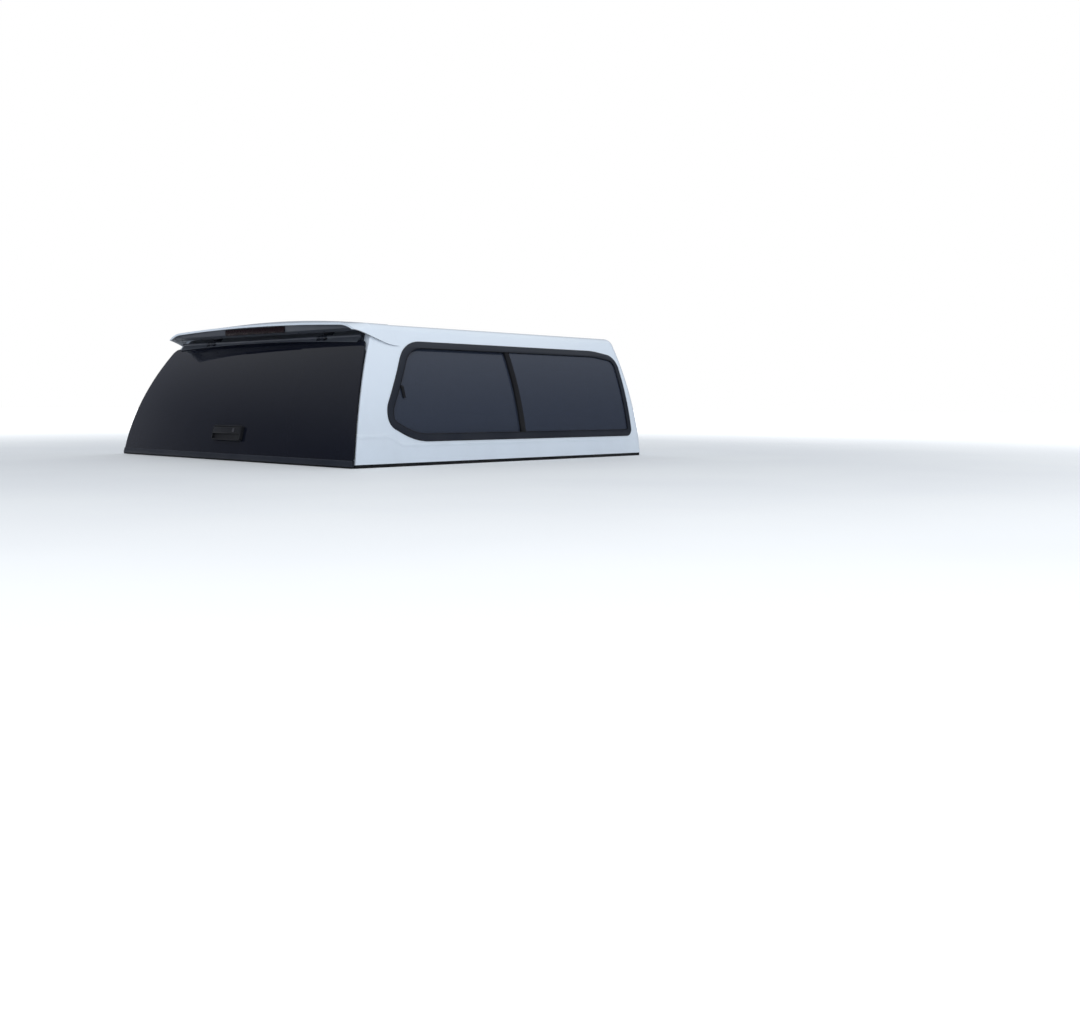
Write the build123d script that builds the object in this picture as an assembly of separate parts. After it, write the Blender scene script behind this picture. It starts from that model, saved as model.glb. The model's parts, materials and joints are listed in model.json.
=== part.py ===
from build123d import *
import os
from math import asin, atan2, cos, degrees, hypot, radians, sin, sqrt, tan

# Pickup truck canopy: a one-piece moulded shell with two side windows, a front window,
# a roof spoiler with a brake light, and a frameless glass door that lifts at the rear.
# Frame: +X to the vehicle's right, +Y towards the cab, +Z up. The origin is the centre
# of the footprint, on the plane that the base seal rests on. Sizes are in millimetres.

# Footprint and shell
base_length = 1824.0
front_y = 925.0
sill_half_width = 888.4
seal_height = 14.0
shell_wall = 5.0
front_corner_radius = 38.0
inner_corner_cut = 30.0
inner_corner_radius = 6.0
flange_width = 66.0
flange_thickness = 8.0

# Cross-section, as lean angles from the vertical and arc radii
crease_z = 84.0
sill_lean = 8.5
side_lean_low = 11.0
side_lean_high = 30.5
side_radius = 1490.0
shoulder_radius = 55.0
roof_edge_slope = 5.0

# Rear surface: an arc in side view
rear_lean_low = 9.5
rear_radius = 1250.0

# Rear opening in the shell
portal_side_width = 58.0
portal_top_drop = 141.9
portal_corner_radius = 60.0

# Rear door
door_seal_depth = 9.0
door_seal_width = 14.0
door_seal_side_inset = 4.0
door_seal_top_inset = 30.0
seal_air = 0.3
glass_thickness = 5.0
glass_side_inset = 2.0
glass_bottom_z = 10.0
glass_top_drop = 83.9
glass_top_arch_radius = 13850.0
glass_corner_radius = 45.0
door_rail_top_z = 31.0
door_rail_bottom_z = 7.0
door_rail_lip = 3.0
door_bottom_seal_z = 1.5
door_seal_lift = 5.0
top_rail_lip = 8.0
top_rail_wall = 2.5
top_rail_side_inset = 204.4
top_rail_hinge_gap = 3.0
top_rail_edge_drop = 3.0
top_rail_notch_drop = 3.0

# Rear door hinges
hinge_side_inset = 458.4
hinge_width = 70.0
hinge_axis_rise = 4.0
hinge_axis_out = 6.0
hinge_knuckle_radius = 6.0
hinge_pin_radius = 2.5
hinge_plate = 4.0
hinge_plate_height = 34.0
knuckle_gap = 0.5

# Rear door handle, in its own frame on the glass: across, up and out
handle_z = 119.0
handle_width = 222.0
handle_height = 66.0
handle_base_depth = 6.0
handle_rim = 5.0
handle_rim_depth = 15.0
handle_corner = 9.0
handle_pocket_corner = 3.0
paddle_height = 30.0
paddle_thickness = 8.0
paddle_end_gap = 1.0
paddle_pivot_up = 22.0
paddle_pivot_out = 12.0
paddle_pin_radius = 2.0
paddle_pin_clearance = 0.05
paddle_pin_bite = 3.0
paddle_edge_radius = 3.5
lock_radius = 9.0
lock_height = 2.5
lock_slot = 2.0

# Inner latch gear on the door
latch_cover_width = 190.0
latch_cover_height = 56.0
latch_cover_depth = 26.0
latch_side_inset = 98.4
latch_z = 72.0
latch_width = 24.0
latch_height = 56.0
latch_depth = 34.0
latch_slot_play = 2.0
latch_slot_deg = 12.0
latch_rod_radius = 4.0
latch_rod_rise = 12.0
latch_rod_out = 4.0
latch_cover_corner = 6.0
striker_pin_radius = 5.0
striker_plate = 5.0
striker_height = 44.0
striker_depth = 44.0
striker_air = 6.0
striker_arm = 12.0

# Spoiler, with places along the body measured forwards from its rear foot
spoiler_front_reach = 358.0
spoiler_mid_reach = 238.0
spoiler_rear_reach = 145.0
spoiler_lip = 2.0
spoiler_mid_lift = 3.0
spoiler_mid_flare = 8.0
spoiler_crown_drop = 13.9
spoiler_roof_radius = 13750.0
spoiler_roof_side_inset = 266.4
spoiler_blend_radius = 200.0
spoiler_blend_slope = 32.0
spoiler_corner_radius = 35.0
spoiler_side_slope = 62.0
spoiler_skin = 9.0
spoiler_foot_drop = 131.9
spoiler_lip_slope = 35.0
spoiler_lip_round = 54.0
fin_tip_setback = 20.0
fin_run_out = 60.0
fin_tip_drop = 55.9
fin_rear_reach = 187.0
fin_rear_drop = 70.4
fin_middle_reach = 244.0
fin_middle_drop = 92.9
fin_front_reach = 368.0
fin_front_drop = 117.9

# Dark panel under the spoiler, the brake light in it and the gutter strip over the door
panel_thickness = 4.0
panel_face_reach = 151.0
panel_knee_drop = 51.9
panel_inner_reach = 186.0
panel_inner_drop = 61.9
gutter_thickness = 2.0
gutter_side_inset = 30.0
gutter_top_drop = 38.9
gutter_gap = 1.0
lamp_half_width = 231.0
lamp_height = 26.0
lamp_top_gap = 3.0
lamp_gap = 0.3
lamp_proud = 3.0
lamp_housing_depth = 24.0
lamp_housing_inset = 4.0
lamp_corner = 6.0

# Side windows, measured from the front face and from the base plane
window_bottom_z = 101.0
window_top_drop = 95.9
window_front_foot = 77.0
window_front_lean = 3.9
window_top_knee = 212.0
window_top_droop = 8.4
window_rear_margin = 200.0
window_rear_lean = 34.0
window_bend_rise = 68.3
window_heel_slope = 27.0
window_heel_z = 166.0
window_front_foot_radius = 40.0
window_front_top_radius = 62.0
window_knee_radius = 500.0
window_rear_top_radius = 170.0
window_rear_bend_radius = 100.0
window_heel_radius = 50.0
window_toe_radius = 300.0
frame_width = 28.0
frame_proud = 4.0
frame_overlap = 9.0
frame_liner = 4.0
frame_liner_depth = 15.0
pane_thickness = 4.0
pane_gap = 0.5
front_pane_inset = 1.0
rear_pane_inset = 8.0
divider_width = 28.0
divider_behind_middle = 2.5
divider_lean = 3.2
divider_proud = 2.0
pane_overlap = 20.0
latch_pull_height = 52.0
latch_pull_width = 14.0
latch_pull_depth = 6.0
latch_pull_setback = 112.0
latch_pull_corner = 4.0
latch_pull_z = 303.0

# Front window, in the wall that faces the cab
front_window_low_inset = 308.4
front_window_high_inset = 358.4
front_window_bottom_z = 170.0
front_window_top_drop = 171.9
front_window_radius = 60.0
gasket_width = 18.0
gasket_lip = 8.0
gasket_proud = 3.0
gasket_core = 2.5
front_pane_thickness = 5.0

# Base seal, inner rails and their clamp holes
seal_width = 34.0
seal_setback = 3.0
rail_width = 46.0
rail_thickness = 4.0
rail_upstand = 26.0
rail_setback = 14.0
rail_end_gap = 30.0
clamp_hole_radius = 4.5
clamp_side_inset = 38.4
clamp_front_inset = 245.0
clamp_rear_inset = 219.0
front_rail_side_inset = 138.4

# Values worked out from the sizes above
side_centre_x = sill_half_width - side_radius * cos(radians(side_lean_low))
side_centre_z = crease_z - side_radius * sin(radians(side_lean_low))
shoulder_x = side_centre_x + (side_radius - shoulder_radius) * cos(radians(side_lean_high))
shoulder_z = side_centre_z + (side_radius - shoulder_radius) * sin(radians(side_lean_high))
roof_z = shoulder_z + shoulder_radius + shoulder_x * tan(radians(roof_edge_slope / 2))
portal_top_z = roof_z - portal_top_drop
glass_top_z = roof_z - glass_top_drop
spoiler_crown_z = roof_z - spoiler_crown_drop
spoiler_foot_z = roof_z - spoiler_foot_drop
fin_tip_z = roof_z - fin_tip_drop
fin_rear_z = roof_z - fin_rear_drop
fin_middle_z = roof_z - fin_middle_drop
fin_front_z = roof_z - fin_front_drop
panel_knee_z = roof_z - panel_knee_drop
panel_inner_z = roof_z - panel_inner_drop
gutter_top_z = roof_z - gutter_top_drop
window_top_z = roof_z - window_top_drop
front_window_top_z = roof_z - front_window_top_drop
rear_y = front_y - base_length
spoiler_front_y = rear_y + spoiler_front_reach
spoiler_mid_y = rear_y + spoiler_mid_reach
spoiler_rear_y = rear_y + spoiler_rear_reach
panel_face_y = rear_y + panel_face_reach
window_rear_reach = base_length - window_rear_margin
divider_foot = (window_front_foot + window_rear_reach) / 2 + divider_behind_middle
hinge_x = sill_half_width - hinge_side_inset
latch_x = sill_half_width - latch_side_inset
clamp_x = sill_half_width - clamp_side_inset
clamp_front_y = front_y - clamp_front_inset
clamp_rear_y = rear_y + clamp_rear_inset
top_rail_half = sill_half_width - top_rail_side_inset
spoiler_roof_half = sill_half_width - spoiler_roof_side_inset
rear_centre_y = rear_y + rear_radius * cos(radians(rear_lean_low))
rear_centre_z = -rear_radius * sin(radians(rear_lean_low))
glass_inner = door_seal_depth
glass_outer = glass_inner + glass_thickness
hinge_axis_proud = glass_inner + glass_thickness / 2 + hinge_axis_out

# Reach of the shapes that only cut or bound others
below_z = -60.0
far = 1200.0
beyond = 100.0
sky_z = roof_z + beyond
over = 1.0


def polar(centre, radius, angle):
    """A point at an angle in degrees round a centre."""
    return (centre[0] + radius * cos(radians(angle)), centre[1] + radius * sin(radians(angle)))


def side_x(z, proud=0.0):
    """Half width of the body side at a height, on a surface moved outwards by proud."""
    radius = side_radius + proud
    return side_centre_x + sqrt(radius**2 - (z - side_centre_z) ** 2)


def rear_point(proud, z):
    """The rear surface in side view at a height, as (y, z), moved rearwards by proud."""
    radius = rear_radius + proud
    return (rear_centre_y - sqrt(radius**2 - (z - rear_centre_z) ** 2), z)


def across_y(sketch, start, end):
    """Extrude a front-view sketch, x by z, from one y to another."""
    plane = Plane(origin=(0, end, 0), x_dir=(1, 0, 0), z_dir=(0, -1, 0))
    return extrude(plane * sketch, amount=end - start)


def across_x(sketch, start, end):
    """Extrude a side-view sketch, y by z, from one x to another."""
    plane = Plane(origin=(start, 0, 0), x_dir=(0, 1, 0), z_dir=(1, 0, 0))
    return extrude(plane * sketch, amount=end - start)


def face_of(*edges):
    """A flat face inside a closed run of edges."""
    return make_face(Curve() + list(edges))


def other_side(shape):
    """The same piece on the vehicle's left."""
    return mirror(shape, about=Plane.YZ)


def section_edges(inset, foot_z=seal_height):
    """Right half of the body's cross-section, from the foot to the crown, moved inwards."""
    centre = (side_centre_x, side_centre_z)
    radius = side_radius - inset
    crease = polar(centre, radius, side_lean_low)
    side_mid = polar(centre, radius, (side_lean_low + side_lean_high) / 2)
    side_top = polar(centre, radius, side_lean_high)
    shoulder = (shoulder_x, shoulder_z)
    round_radius = shoulder_radius - inset
    round_mid = polar(shoulder, round_radius, (side_lean_high + 90 - roof_edge_slope) / 2)
    round_top = polar(shoulder, round_radius, 90 - roof_edge_slope)
    roof_radius = shoulder[0] / sin(radians(roof_edge_slope)) + round_radius
    roof_centre = (0, shoulder[1] - shoulder[0] / tan(radians(roof_edge_slope)))
    crown = (0, roof_centre[1] + roof_radius)
    roof_mid = polar(roof_centre, roof_radius, 90 - roof_edge_slope / 2)
    foot = (crease[0] + (crease[1] - foot_z) * tan(radians(sill_lean)), foot_z)
    return [
        Line(foot, crease),
        ThreePointArc(crease, side_mid, side_top),
        ThreePointArc(side_top, round_mid, round_top),
        ThreePointArc(round_top, roof_mid, crown),
    ]


def closed_half(edges):
    """Whole symmetric face from the right half of its outline."""
    foot = edges[0] @ 0
    crown = edges[-1] @ 1
    base = Line((0, foot.Y), foot)
    middle = Line(crown, (0, foot.Y))
    half = face_of(base, *edges, middle)
    return half + mirror(half, about=Plane.YZ)


def body_section(inset=0.0, foot_z=seal_height):
    """The body's whole cross-section, moved inwards by inset."""
    return closed_half(section_edges(inset, foot_z))


def rear_wedge(proud):
    """Everything in front of the rear surface, moved rearwards by proud."""
    low, high = rear_point(proud, below_z), rear_point(proud, sky_z)
    arc = ThreePointArc(low, rear_point(proud, sky_z / 2), high)
    top = Line(high, (far, sky_z))
    front = Line((far, sky_z), (far, below_z))
    return across_x(face_of(arc, top, front, Line((far, below_z), low)), -far, far)


def rear_band(inner, outer):
    """A curved sheet that follows the rear surface, between two distances behind it."""
    low, high = rear_point(inner, below_z), rear_point(inner, sky_z)
    low_out, high_out = rear_point(outer, below_z), rear_point(outer, sky_z)
    inside = ThreePointArc(low, rear_point(inner, sky_z / 2), high)
    outside = ThreePointArc(high_out, rear_point(outer, sky_z / 2), low_out)
    face = face_of(inside, Line(high, high_out), outside, Line(low_out, low))
    return across_x(face, -far, far)


def across_rear(sketch):
    """Extrude a rear-view sketch through the rear end of the body."""
    return across_y(sketch, rear_y - beyond, spoiler_front_y)


def outer_body():
    """The body's outside with its rounded front edges, running past the rear."""
    body = across_y(body_section(), rear_y - beyond, front_y)
    return fillet(front_edges(body), front_corner_radius)


def inner_body():
    """The body's hollow, running past the rear, with cut corners that thicken the wall."""
    body = across_y(body_section(shell_wall), rear_y - beyond, front_y - shell_wall)
    return chamfer(front_edges(body), inner_corner_cut)


def front_edges(body):
    """Edges round the front end, apart from the foot."""
    edges = body.faces().sort_by(Axis.Y)[-1].edges()
    return edges.filter_by(lambda edge: edge.center().Z > seal_height + shell_wall)


def base_plan(inset):
    """The footprint in plan with its rounded front corners, moved inwards."""
    half = (section_edges(0)[0] @ 0).X - inset
    radius = max(front_corner_radius - inset, inner_corner_radius)
    length = base_length - inset
    rectangle = Pos(0, rear_y + length / 2) * Rectangle(2 * half, length)
    front_corners = rectangle.vertices().filter_by(lambda corner: corner.Y > 0)
    return fillet(front_corners, radius)


def upright(sketch, bottom, top):
    """Extrude a plan sketch from one height to another."""
    return extrude(Pos(0, 0, bottom) * sketch, amount=top - bottom)


def window_outline(grow=0.0):
    """A side window's outer edge in side view, made larger or smaller by grow."""
    front_foot = front_y - window_front_foot
    rise = window_top_z - window_bottom_z
    droop = tan(radians(window_top_droop))
    knee_y = front_y - window_top_knee
    lean = tan(radians(window_front_lean))
    top_y = (front_foot + rise * lean + droop * knee_y * lean) / (1 + droop * lean)
    top_z = window_top_z - droop * (top_y - knee_y)
    back_y = front_y - window_rear_reach
    bend_z = window_heel_z + window_bend_rise
    rear_top_y = back_y + (window_top_z - bend_z) * tan(radians(window_rear_lean))
    toe_y = back_y + (window_heel_z - window_bottom_z) / tan(radians(window_heel_slope))
    corners = [
        (front_foot, window_bottom_z),
        (top_y, top_z),
        (knee_y, window_top_z),
        (rear_top_y, window_top_z),
        (back_y, bend_z),
        (back_y, window_heel_z),
        (toe_y, window_bottom_z),
    ]
    radii = [
        window_front_foot_radius,
        window_front_top_radius,
        window_knee_radius,
        window_rear_top_radius,
        window_rear_bend_radius,
        window_heel_radius,
        window_toe_radius,
    ]
    outline = make_face(FilletPolyline(*corners, radius=radii, close=True))
    if grow:
        outline = offset(outline, amount=grow)
    return outline


def side_band(inner, outer):
    """A sheet that follows the right body side, between two distances from its surface."""
    centre = (side_centre_x, side_centre_z)
    middle = (side_lean_low + side_lean_high) / 2
    low, high = side_radius + inner, side_radius + outer
    inside = ThreePointArc(
        polar(centre, low, side_lean_low),
        polar(centre, low, middle),
        polar(centre, low, side_lean_high),
    )
    outside = ThreePointArc(
        polar(centre, high, side_lean_high),
        polar(centre, high, middle),
        polar(centre, high, side_lean_low),
    )
    ends = [Line(inside @ 1, outside @ 0), Line(outside @ 1, inside @ 0)]
    return across_y(face_of(inside, ends[0], outside, ends[1]), rear_y, front_y)


def window_prism(grow):
    """A window outline pushed through the right side."""
    return across_x(window_outline(grow), sill_half_width / 2, far)


def front_window(grow=0.0):
    """The front window's outline in front view."""
    half_low = sill_half_width - front_window_low_inset
    half_high = sill_half_width - front_window_high_inset
    corners = [
        (-half_low, front_window_bottom_z),
        (half_low, front_window_bottom_z),
        (half_high, front_window_top_z),
        (-half_high, front_window_top_z),
    ]
    outline = make_face(FilletPolyline(*corners, radius=front_window_radius, close=True))
    if grow:
        outline = offset(outline, amount=grow)
    return outline


def door_outline(side_inset, bottom, top_drop, corner):
    """Rear-view outline of what follows the door: the body's sides under an arched top."""
    crown = glass_top_z - top_drop
    radius = glass_top_arch_radius
    arch = Pos(0, crown - radius) * Circle(radius)
    outline = body_section(side_inset, 0) & arch
    outline = outline - Pos(0, bottom - far / 2) * Rectangle(2 * far, far)
    top_corners = outline.vertices().filter_by(lambda point: point.Y > crown - beyond)
    outer_corners = top_corners.filter_by(lambda point: abs(point.X) > sill_half_width / 2)
    return fillet(outer_corners, corner)


def clamp_places():
    """Clamp bolt places in plan: three along each side."""
    middle_y = (clamp_rear_y + clamp_front_y) / 2
    places = []
    for y in (clamp_rear_y, middle_y, clamp_front_y):
        places += [(-clamp_x, y), (clamp_x, y)]
    return places


def drilled(shape):
    """A piece with the clamp holes through it."""
    for x, y in clamp_places():
        shape = shape - Pos(x, y, flange_thickness) * Cylinder(clamp_hole_radius, beyond)
    return shape


def envelope():
    """The outside of the shell as one solid."""
    return outer_body() & rear_wedge(0)


def make_shell():
    """The moulding: roof, sides, front wall, rear return and inward base flange in one."""
    hollow = inner_body() & rear_wedge(-shell_wall)
    hollow = hollow & upright(base_plan(-beyond), seal_height + flange_thickness, sky_z)
    shell = envelope() - hollow
    mouth = upright(base_plan(flange_width), 0, seal_height + flange_thickness + over)
    shell = shell - mouth
    portal = body_section(portal_side_width) - Pos(0, portal_top_z + far / 2) * Rectangle(2 * far, far)
    corners = portal.vertices().filter_by(lambda point: abs(point.Y - portal_top_z) < over)
    portal = fillet(corners, portal_corner_radius)
    portal = portal + Pos(0, seal_height) * Rectangle(2 * portal_half_width(), 2 * seal_height)
    shell = shell - across_rear(portal)
    right_cut = window_prism(-frame_overlap)
    shell = shell - right_cut - other_side(right_cut)
    shell = shell - across_y(front_window(-gasket_lip), front_y - flange_width, front_y + over)
    return drilled(shell)


def portal_half_width():
    """Half width of the rear opening at its foot."""
    return (section_edges(portal_side_width)[0] @ 0).X


def make_base_seal():
    """Rubber strip under the sides and the front of the shell."""
    strip = base_plan(seal_setback) - base_plan(seal_setback + seal_width)
    strip = upright(strip, 0, seal_height)
    return strip & rear_wedge(-seal_setback)


def make_side_rail():
    """Right inner rail: a flat foot on the base flange with a leg up at its inner edge."""
    outer = clamp_x + rail_width / 2
    inner = outer - rail_width
    bottom = seal_height + flange_thickness
    corners = [
        (inner, bottom),
        (outer, bottom),
        (outer, bottom + rail_thickness),
        (inner + rail_thickness, bottom + rail_thickness),
        (inner + rail_thickness, bottom + rail_upstand),
        (inner, bottom + rail_upstand),
    ]
    profile = make_face(Polyline(*corners, close=True))
    front = front_y - flange_width - rail_end_gap
    return drilled(across_y(profile, rear_y + 2 * rail_end_gap, front))


def make_front_rail():
    """Inner rail across the front flange."""
    outer = front_y - rail_setback
    inner = outer - rail_width
    bottom = seal_height + flange_thickness
    corners = [
        (outer, bottom),
        (inner, bottom),
        (inner, bottom + rail_upstand),
        (inner + rail_thickness, bottom + rail_upstand),
        (inner + rail_thickness, bottom + rail_thickness),
        (outer, bottom + rail_thickness),
    ]
    profile = make_face(Polyline(*corners, close=True))
    half = sill_half_width - front_rail_side_inset
    return across_x(profile, -half, half)


def make_window_frame():
    """Right window frame: a flange on the side and a liner through the cut-out."""
    ring = window_prism(0) - window_prism(-frame_width)
    flange = side_band(0, frame_proud) & ring
    liner_ring = window_prism(-frame_overlap - pane_gap) - window_prism(
        -frame_overlap - pane_gap - frame_liner
    )
    liner = side_band(-frame_liner_depth, 0) & liner_ring
    return flange + liner


def divider_region(width, shift):
    """A leaning upright band in side view, centred on the divider."""
    foot = front_y - divider_foot + shift
    low, high = window_bottom_z - beyond, window_top_z + beyond
    lean = tan(radians(divider_lean))
    start, end = foot - beyond * lean, foot + (high - window_bottom_z) * lean
    corners = [
        (start - width / 2, low),
        (start + width / 2, low),
        (end + width / 2, high),
        (end - width / 2, high),
    ]
    return across_x(make_face(Polyline(*corners, close=True)), sill_half_width / 2, far)


def make_panes():
    """Front fixed pane, rear sliding pane and the divider between them."""
    edge = -frame_overlap - 2 * pane_gap - frame_liner
    inside = window_prism(edge)
    half = base_length
    ahead = divider_region(half, half / 2)
    behind = divider_region(half, -half / 2 + pane_overlap)
    divider = divider_region(divider_width, 0)
    front = side_band(-front_pane_inset - pane_thickness, -front_pane_inset) & inside & ahead
    front = front - divider
    rear = side_band(-rear_pane_inset - pane_thickness, -rear_pane_inset) & inside & behind
    bar = side_band(-rear_pane_inset + pane_gap, divider_proud) & divider
    bar = bar & window_prism(-frame_width - pane_gap)
    return front, rear, bar


def make_latch_pull():
    """Small pull on the rear pane."""
    outline = Rectangle(latch_pull_width, latch_pull_height)
    outline = chamfer(outline.vertices(), latch_pull_corner)
    region = Pos(front_y - window_rear_reach + latch_pull_setback, latch_pull_z) * outline
    prism = across_x(region, sill_half_width / 2, far)
    return side_band(-rear_pane_inset, -rear_pane_inset + latch_pull_depth) & prism


def make_front_gasket(glass):
    """Rubber moulding round the front window, with lips over both faces of the wall."""
    lips = across_y(
        front_window(gasket_width - gasket_lip) - front_window(-gasket_width),
        front_y - shell_wall - gasket_proud,
        front_y + gasket_proud,
    )
    wall_slot = across_y(
        front_window(gasket_width) - front_window(-gasket_lip), front_y - shell_wall, front_y
    )
    return lips - wall_slot - glass


def make_front_glass():
    middle = front_y - shell_wall / 2
    half = front_pane_thickness / 2
    return across_y(front_window(-gasket_lip - gasket_core), middle - half, middle + half)


def hinge_lean():
    """Angle of the rear surface's normal above the horizontal at the hinge axis."""
    radius = rear_radius + hinge_axis_proud
    return asin((glass_top_z - rear_centre_z) / radius) + hinge_axis_rise / radius


def hinge_axis():
    """The door's hinge axis in side view, as (y, z): along the glass's top edge, just outside it."""
    radius = rear_radius + hinge_axis_proud
    lean = hinge_lean()
    return (rear_centre_y - radius * cos(lean), rear_centre_z + radius * sin(lean))


def hinge_plate_middle_z():
    """Middle height of the bracket's plate, whose lower edge meets the middle of its webs."""
    web_foot_z = hinge_axis()[1] - hinge_axis_proud * sin(hinge_lean())
    return web_foot_z + hinge_plate_height / 2


def glass_edge_z(x):
    """Height of the glass's top edge at a distance from the middle."""
    return glass_top_z - glass_top_arch_radius + sqrt(glass_top_arch_radius**2 - x**2)


def make_door_seal():
    """Bulb seal on the shell, round the sides and the top of the opening."""
    foot_z = door_rail_top_z + door_seal_lift
    outer = door_outline(
        glass_side_inset + door_seal_side_inset,
        foot_z,
        door_seal_top_inset,
        glass_corner_radius - door_seal_side_inset,
    )
    inner = door_outline(
        glass_side_inset + door_seal_side_inset + door_seal_width,
        foot_z,
        door_seal_top_inset + door_seal_width,
        glass_corner_radius - door_seal_side_inset - door_seal_width,
    )
    ring = across_rear(outer - inner)
    return rear_band(0, door_seal_depth - seal_air) & ring


def make_rear_glass():
    outline = door_outline(glass_side_inset, glass_bottom_z, 0, glass_corner_radius)
    return rear_band(glass_inner, glass_outer) & across_rear(outline)


def make_door_rail(glass):
    """Channel along the foot of the glass."""
    outline = door_outline(glass_side_inset, door_rail_bottom_z, 0, glass_corner_radius)
    outline = outline - Pos(0, door_rail_top_z + far / 2) * Rectangle(2 * far, far)
    band = rear_band(glass_inner - door_rail_lip, glass_outer + door_rail_lip)
    return (band & across_rear(outline)) - glass


def make_door_bottom_seal():
    """Rubber strip under the channel."""
    half = (section_edges(glass_side_inset)[0] @ 0).X
    height = door_rail_bottom_z - door_bottom_seal_z
    outline = Pos(0, door_bottom_seal_z + height / 2) * Rectangle(2 * half, height)
    lip = door_rail_lip / 3
    return rear_band(glass_inner - lip, glass_outer + lip) & across_rear(outline)


def hinge_cylinder(radius, start, end):
    """A round bar on the hinge axis."""
    y, z = hinge_axis()
    return across_x(Pos(y, z) * Circle(radius), start, end)


def make_hinge_bracket(centre_x):
    """Fixed half: a plate on the shell above the opening and the two outer knuckles."""
    y, z = hinge_axis()
    third = hinge_width / 3
    start = centre_x - hinge_width / 2
    window = Pos(centre_x, hinge_plate_middle_z()) * Rectangle(hinge_width, hinge_plate_height)
    bracket = rear_band(0, hinge_plate) & across_rear(window)
    lean = hinge_lean()
    web_length = hinge_axis_proud - hinge_plate / 2
    web = Pos(y + cos(lean) * web_length / 2, z - sin(lean) * web_length / 2)
    web = web * Rot(0, 0, -degrees(lean)) * Rectangle(web_length, hinge_knuckle_radius)
    length = third - knuckle_gap
    for low in (start, start + hinge_width - length):
        bracket = bracket + hinge_cylinder(hinge_knuckle_radius, low, low + length)
        bracket = bracket + across_x(web, low, low + length)
    pin = hinge_cylinder(hinge_pin_radius, start, start + hinge_width)
    return bracket + pin


def make_top_rail(glass):
    """Extrusion along the glass's top edge, with a bead on the hinge axis."""
    z = hinge_axis()[1]
    crown = glass_top_z - top_rail_lip
    radius = glass_top_arch_radius
    region = Pos(0, z - top_rail_edge_drop - beyond / 2) * Rectangle(2 * top_rail_half, beyond)
    region = region - Pos(0, crown - radius) * Circle(radius)
    rail = rear_band(glass_inner - top_rail_wall, glass_outer + top_rail_wall) & across_rear(region)
    rail = rail + hinge_cylinder(hinge_knuckle_radius, -top_rail_half, top_rail_half)
    notch_z = glass_edge_z(hinge_x) - top_rail_notch_drop
    notch = Rectangle(hinge_width + 2 * top_rail_hinge_gap, beyond)
    for side in (-1, 1):
        rail = rail - across_rear(Pos(side * hinge_x, notch_z + beyond / 2) * notch)
    return rail - glass


def make_hinge_leaf(centre_x, glass, top_rail):
    """Door half: the middle knuckle and its foot on the glass's top edge."""
    z = hinge_axis()[1]
    third = hinge_width / 3
    low = centre_x - third / 2 + knuckle_gap
    high = centre_x + third / 2 - knuckle_gap
    foot_z = glass_edge_z(hinge_x) - top_rail_notch_drop
    top_z = z - hinge_knuckle_radius / 2
    window = Pos(centre_x, (foot_z + top_z) / 2) * Rectangle(high - low, top_z - foot_z)
    foot = rear_band(glass_inner - top_rail_wall, glass_outer + top_rail_wall)
    leaf = (foot & across_rear(window)) + hinge_cylinder(hinge_knuckle_radius, low, high)
    bore = hinge_cylinder(hinge_pin_radius + paddle_pin_clearance, low - over, high + over)
    return leaf - bore - glass - top_rail


def make_gutter():
    """Strip on the shell above the opening, behind the hinges."""
    region = body_section(gutter_side_inset) - Pos(0, gutter_top_z + far / 2) * Rectangle(2 * far, far)
    low = glass_top_z - door_seal_top_inset + gutter_gap
    arch = Pos(0, low - glass_top_arch_radius) * Circle(glass_top_arch_radius)
    region = region - arch
    notch = Rectangle(hinge_width + 2 * gutter_gap, hinge_plate_height + 2 * gutter_gap)
    for side in (-1, 1):
        region = region - Pos(side * hinge_x, hinge_plate_middle_z()) * notch
    return rear_band(0, gutter_thickness) & across_rear(region)


def handle_plane():
    """The handle's own frame on the glass: x across, y up the glass and z outwards."""
    y, z = rear_point(glass_outer, handle_z)
    lean = asin((handle_z - rear_centre_z) / (rear_radius + glass_outer))
    return Plane(origin=(0, y, z), x_dir=(1, 0, 0), z_dir=(0, -cos(lean), sin(lean)))


def paddle_axis():
    """The paddle's pivot in the part's frame, as (y, z)."""
    place = handle_plane().from_local_coords(Vector(0, paddle_pivot_up, paddle_pivot_out))
    return (place.Y, place.Z)


def handle_box(left, right, low, high, back, out):
    """A box in the handle's frame."""
    size = (right - left, high - low, out - back)
    middle = ((left + right) / 2, (low + high) / 2, (back + out) / 2)
    return Pos(*middle) * Box(*size)


def make_handle_base(glass):
    """Housing on the glass: a back plate with a raised rim round the finger pocket."""
    plate = RectangleRounded(handle_width, handle_height, handle_corner)
    pocket = RectangleRounded(
        handle_width - 2 * handle_rim, handle_height - 2 * handle_rim, handle_pocket_corner
    )
    solid = Pos(0, 0, -over) * extrude(plate, amount=handle_rim_depth + over)
    hollow = Pos(0, 0, handle_base_depth) * extrude(pocket, amount=handle_rim_depth)
    base = solid - hollow
    pin = Pos(0, paddle_pivot_up, paddle_pivot_out) * Rot(0, 90, 0)
    hole = pin * Cylinder(paddle_pin_radius + paddle_pin_clearance, handle_width - handle_rim)
    return handle_plane() * (base - hole) - glass


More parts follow.
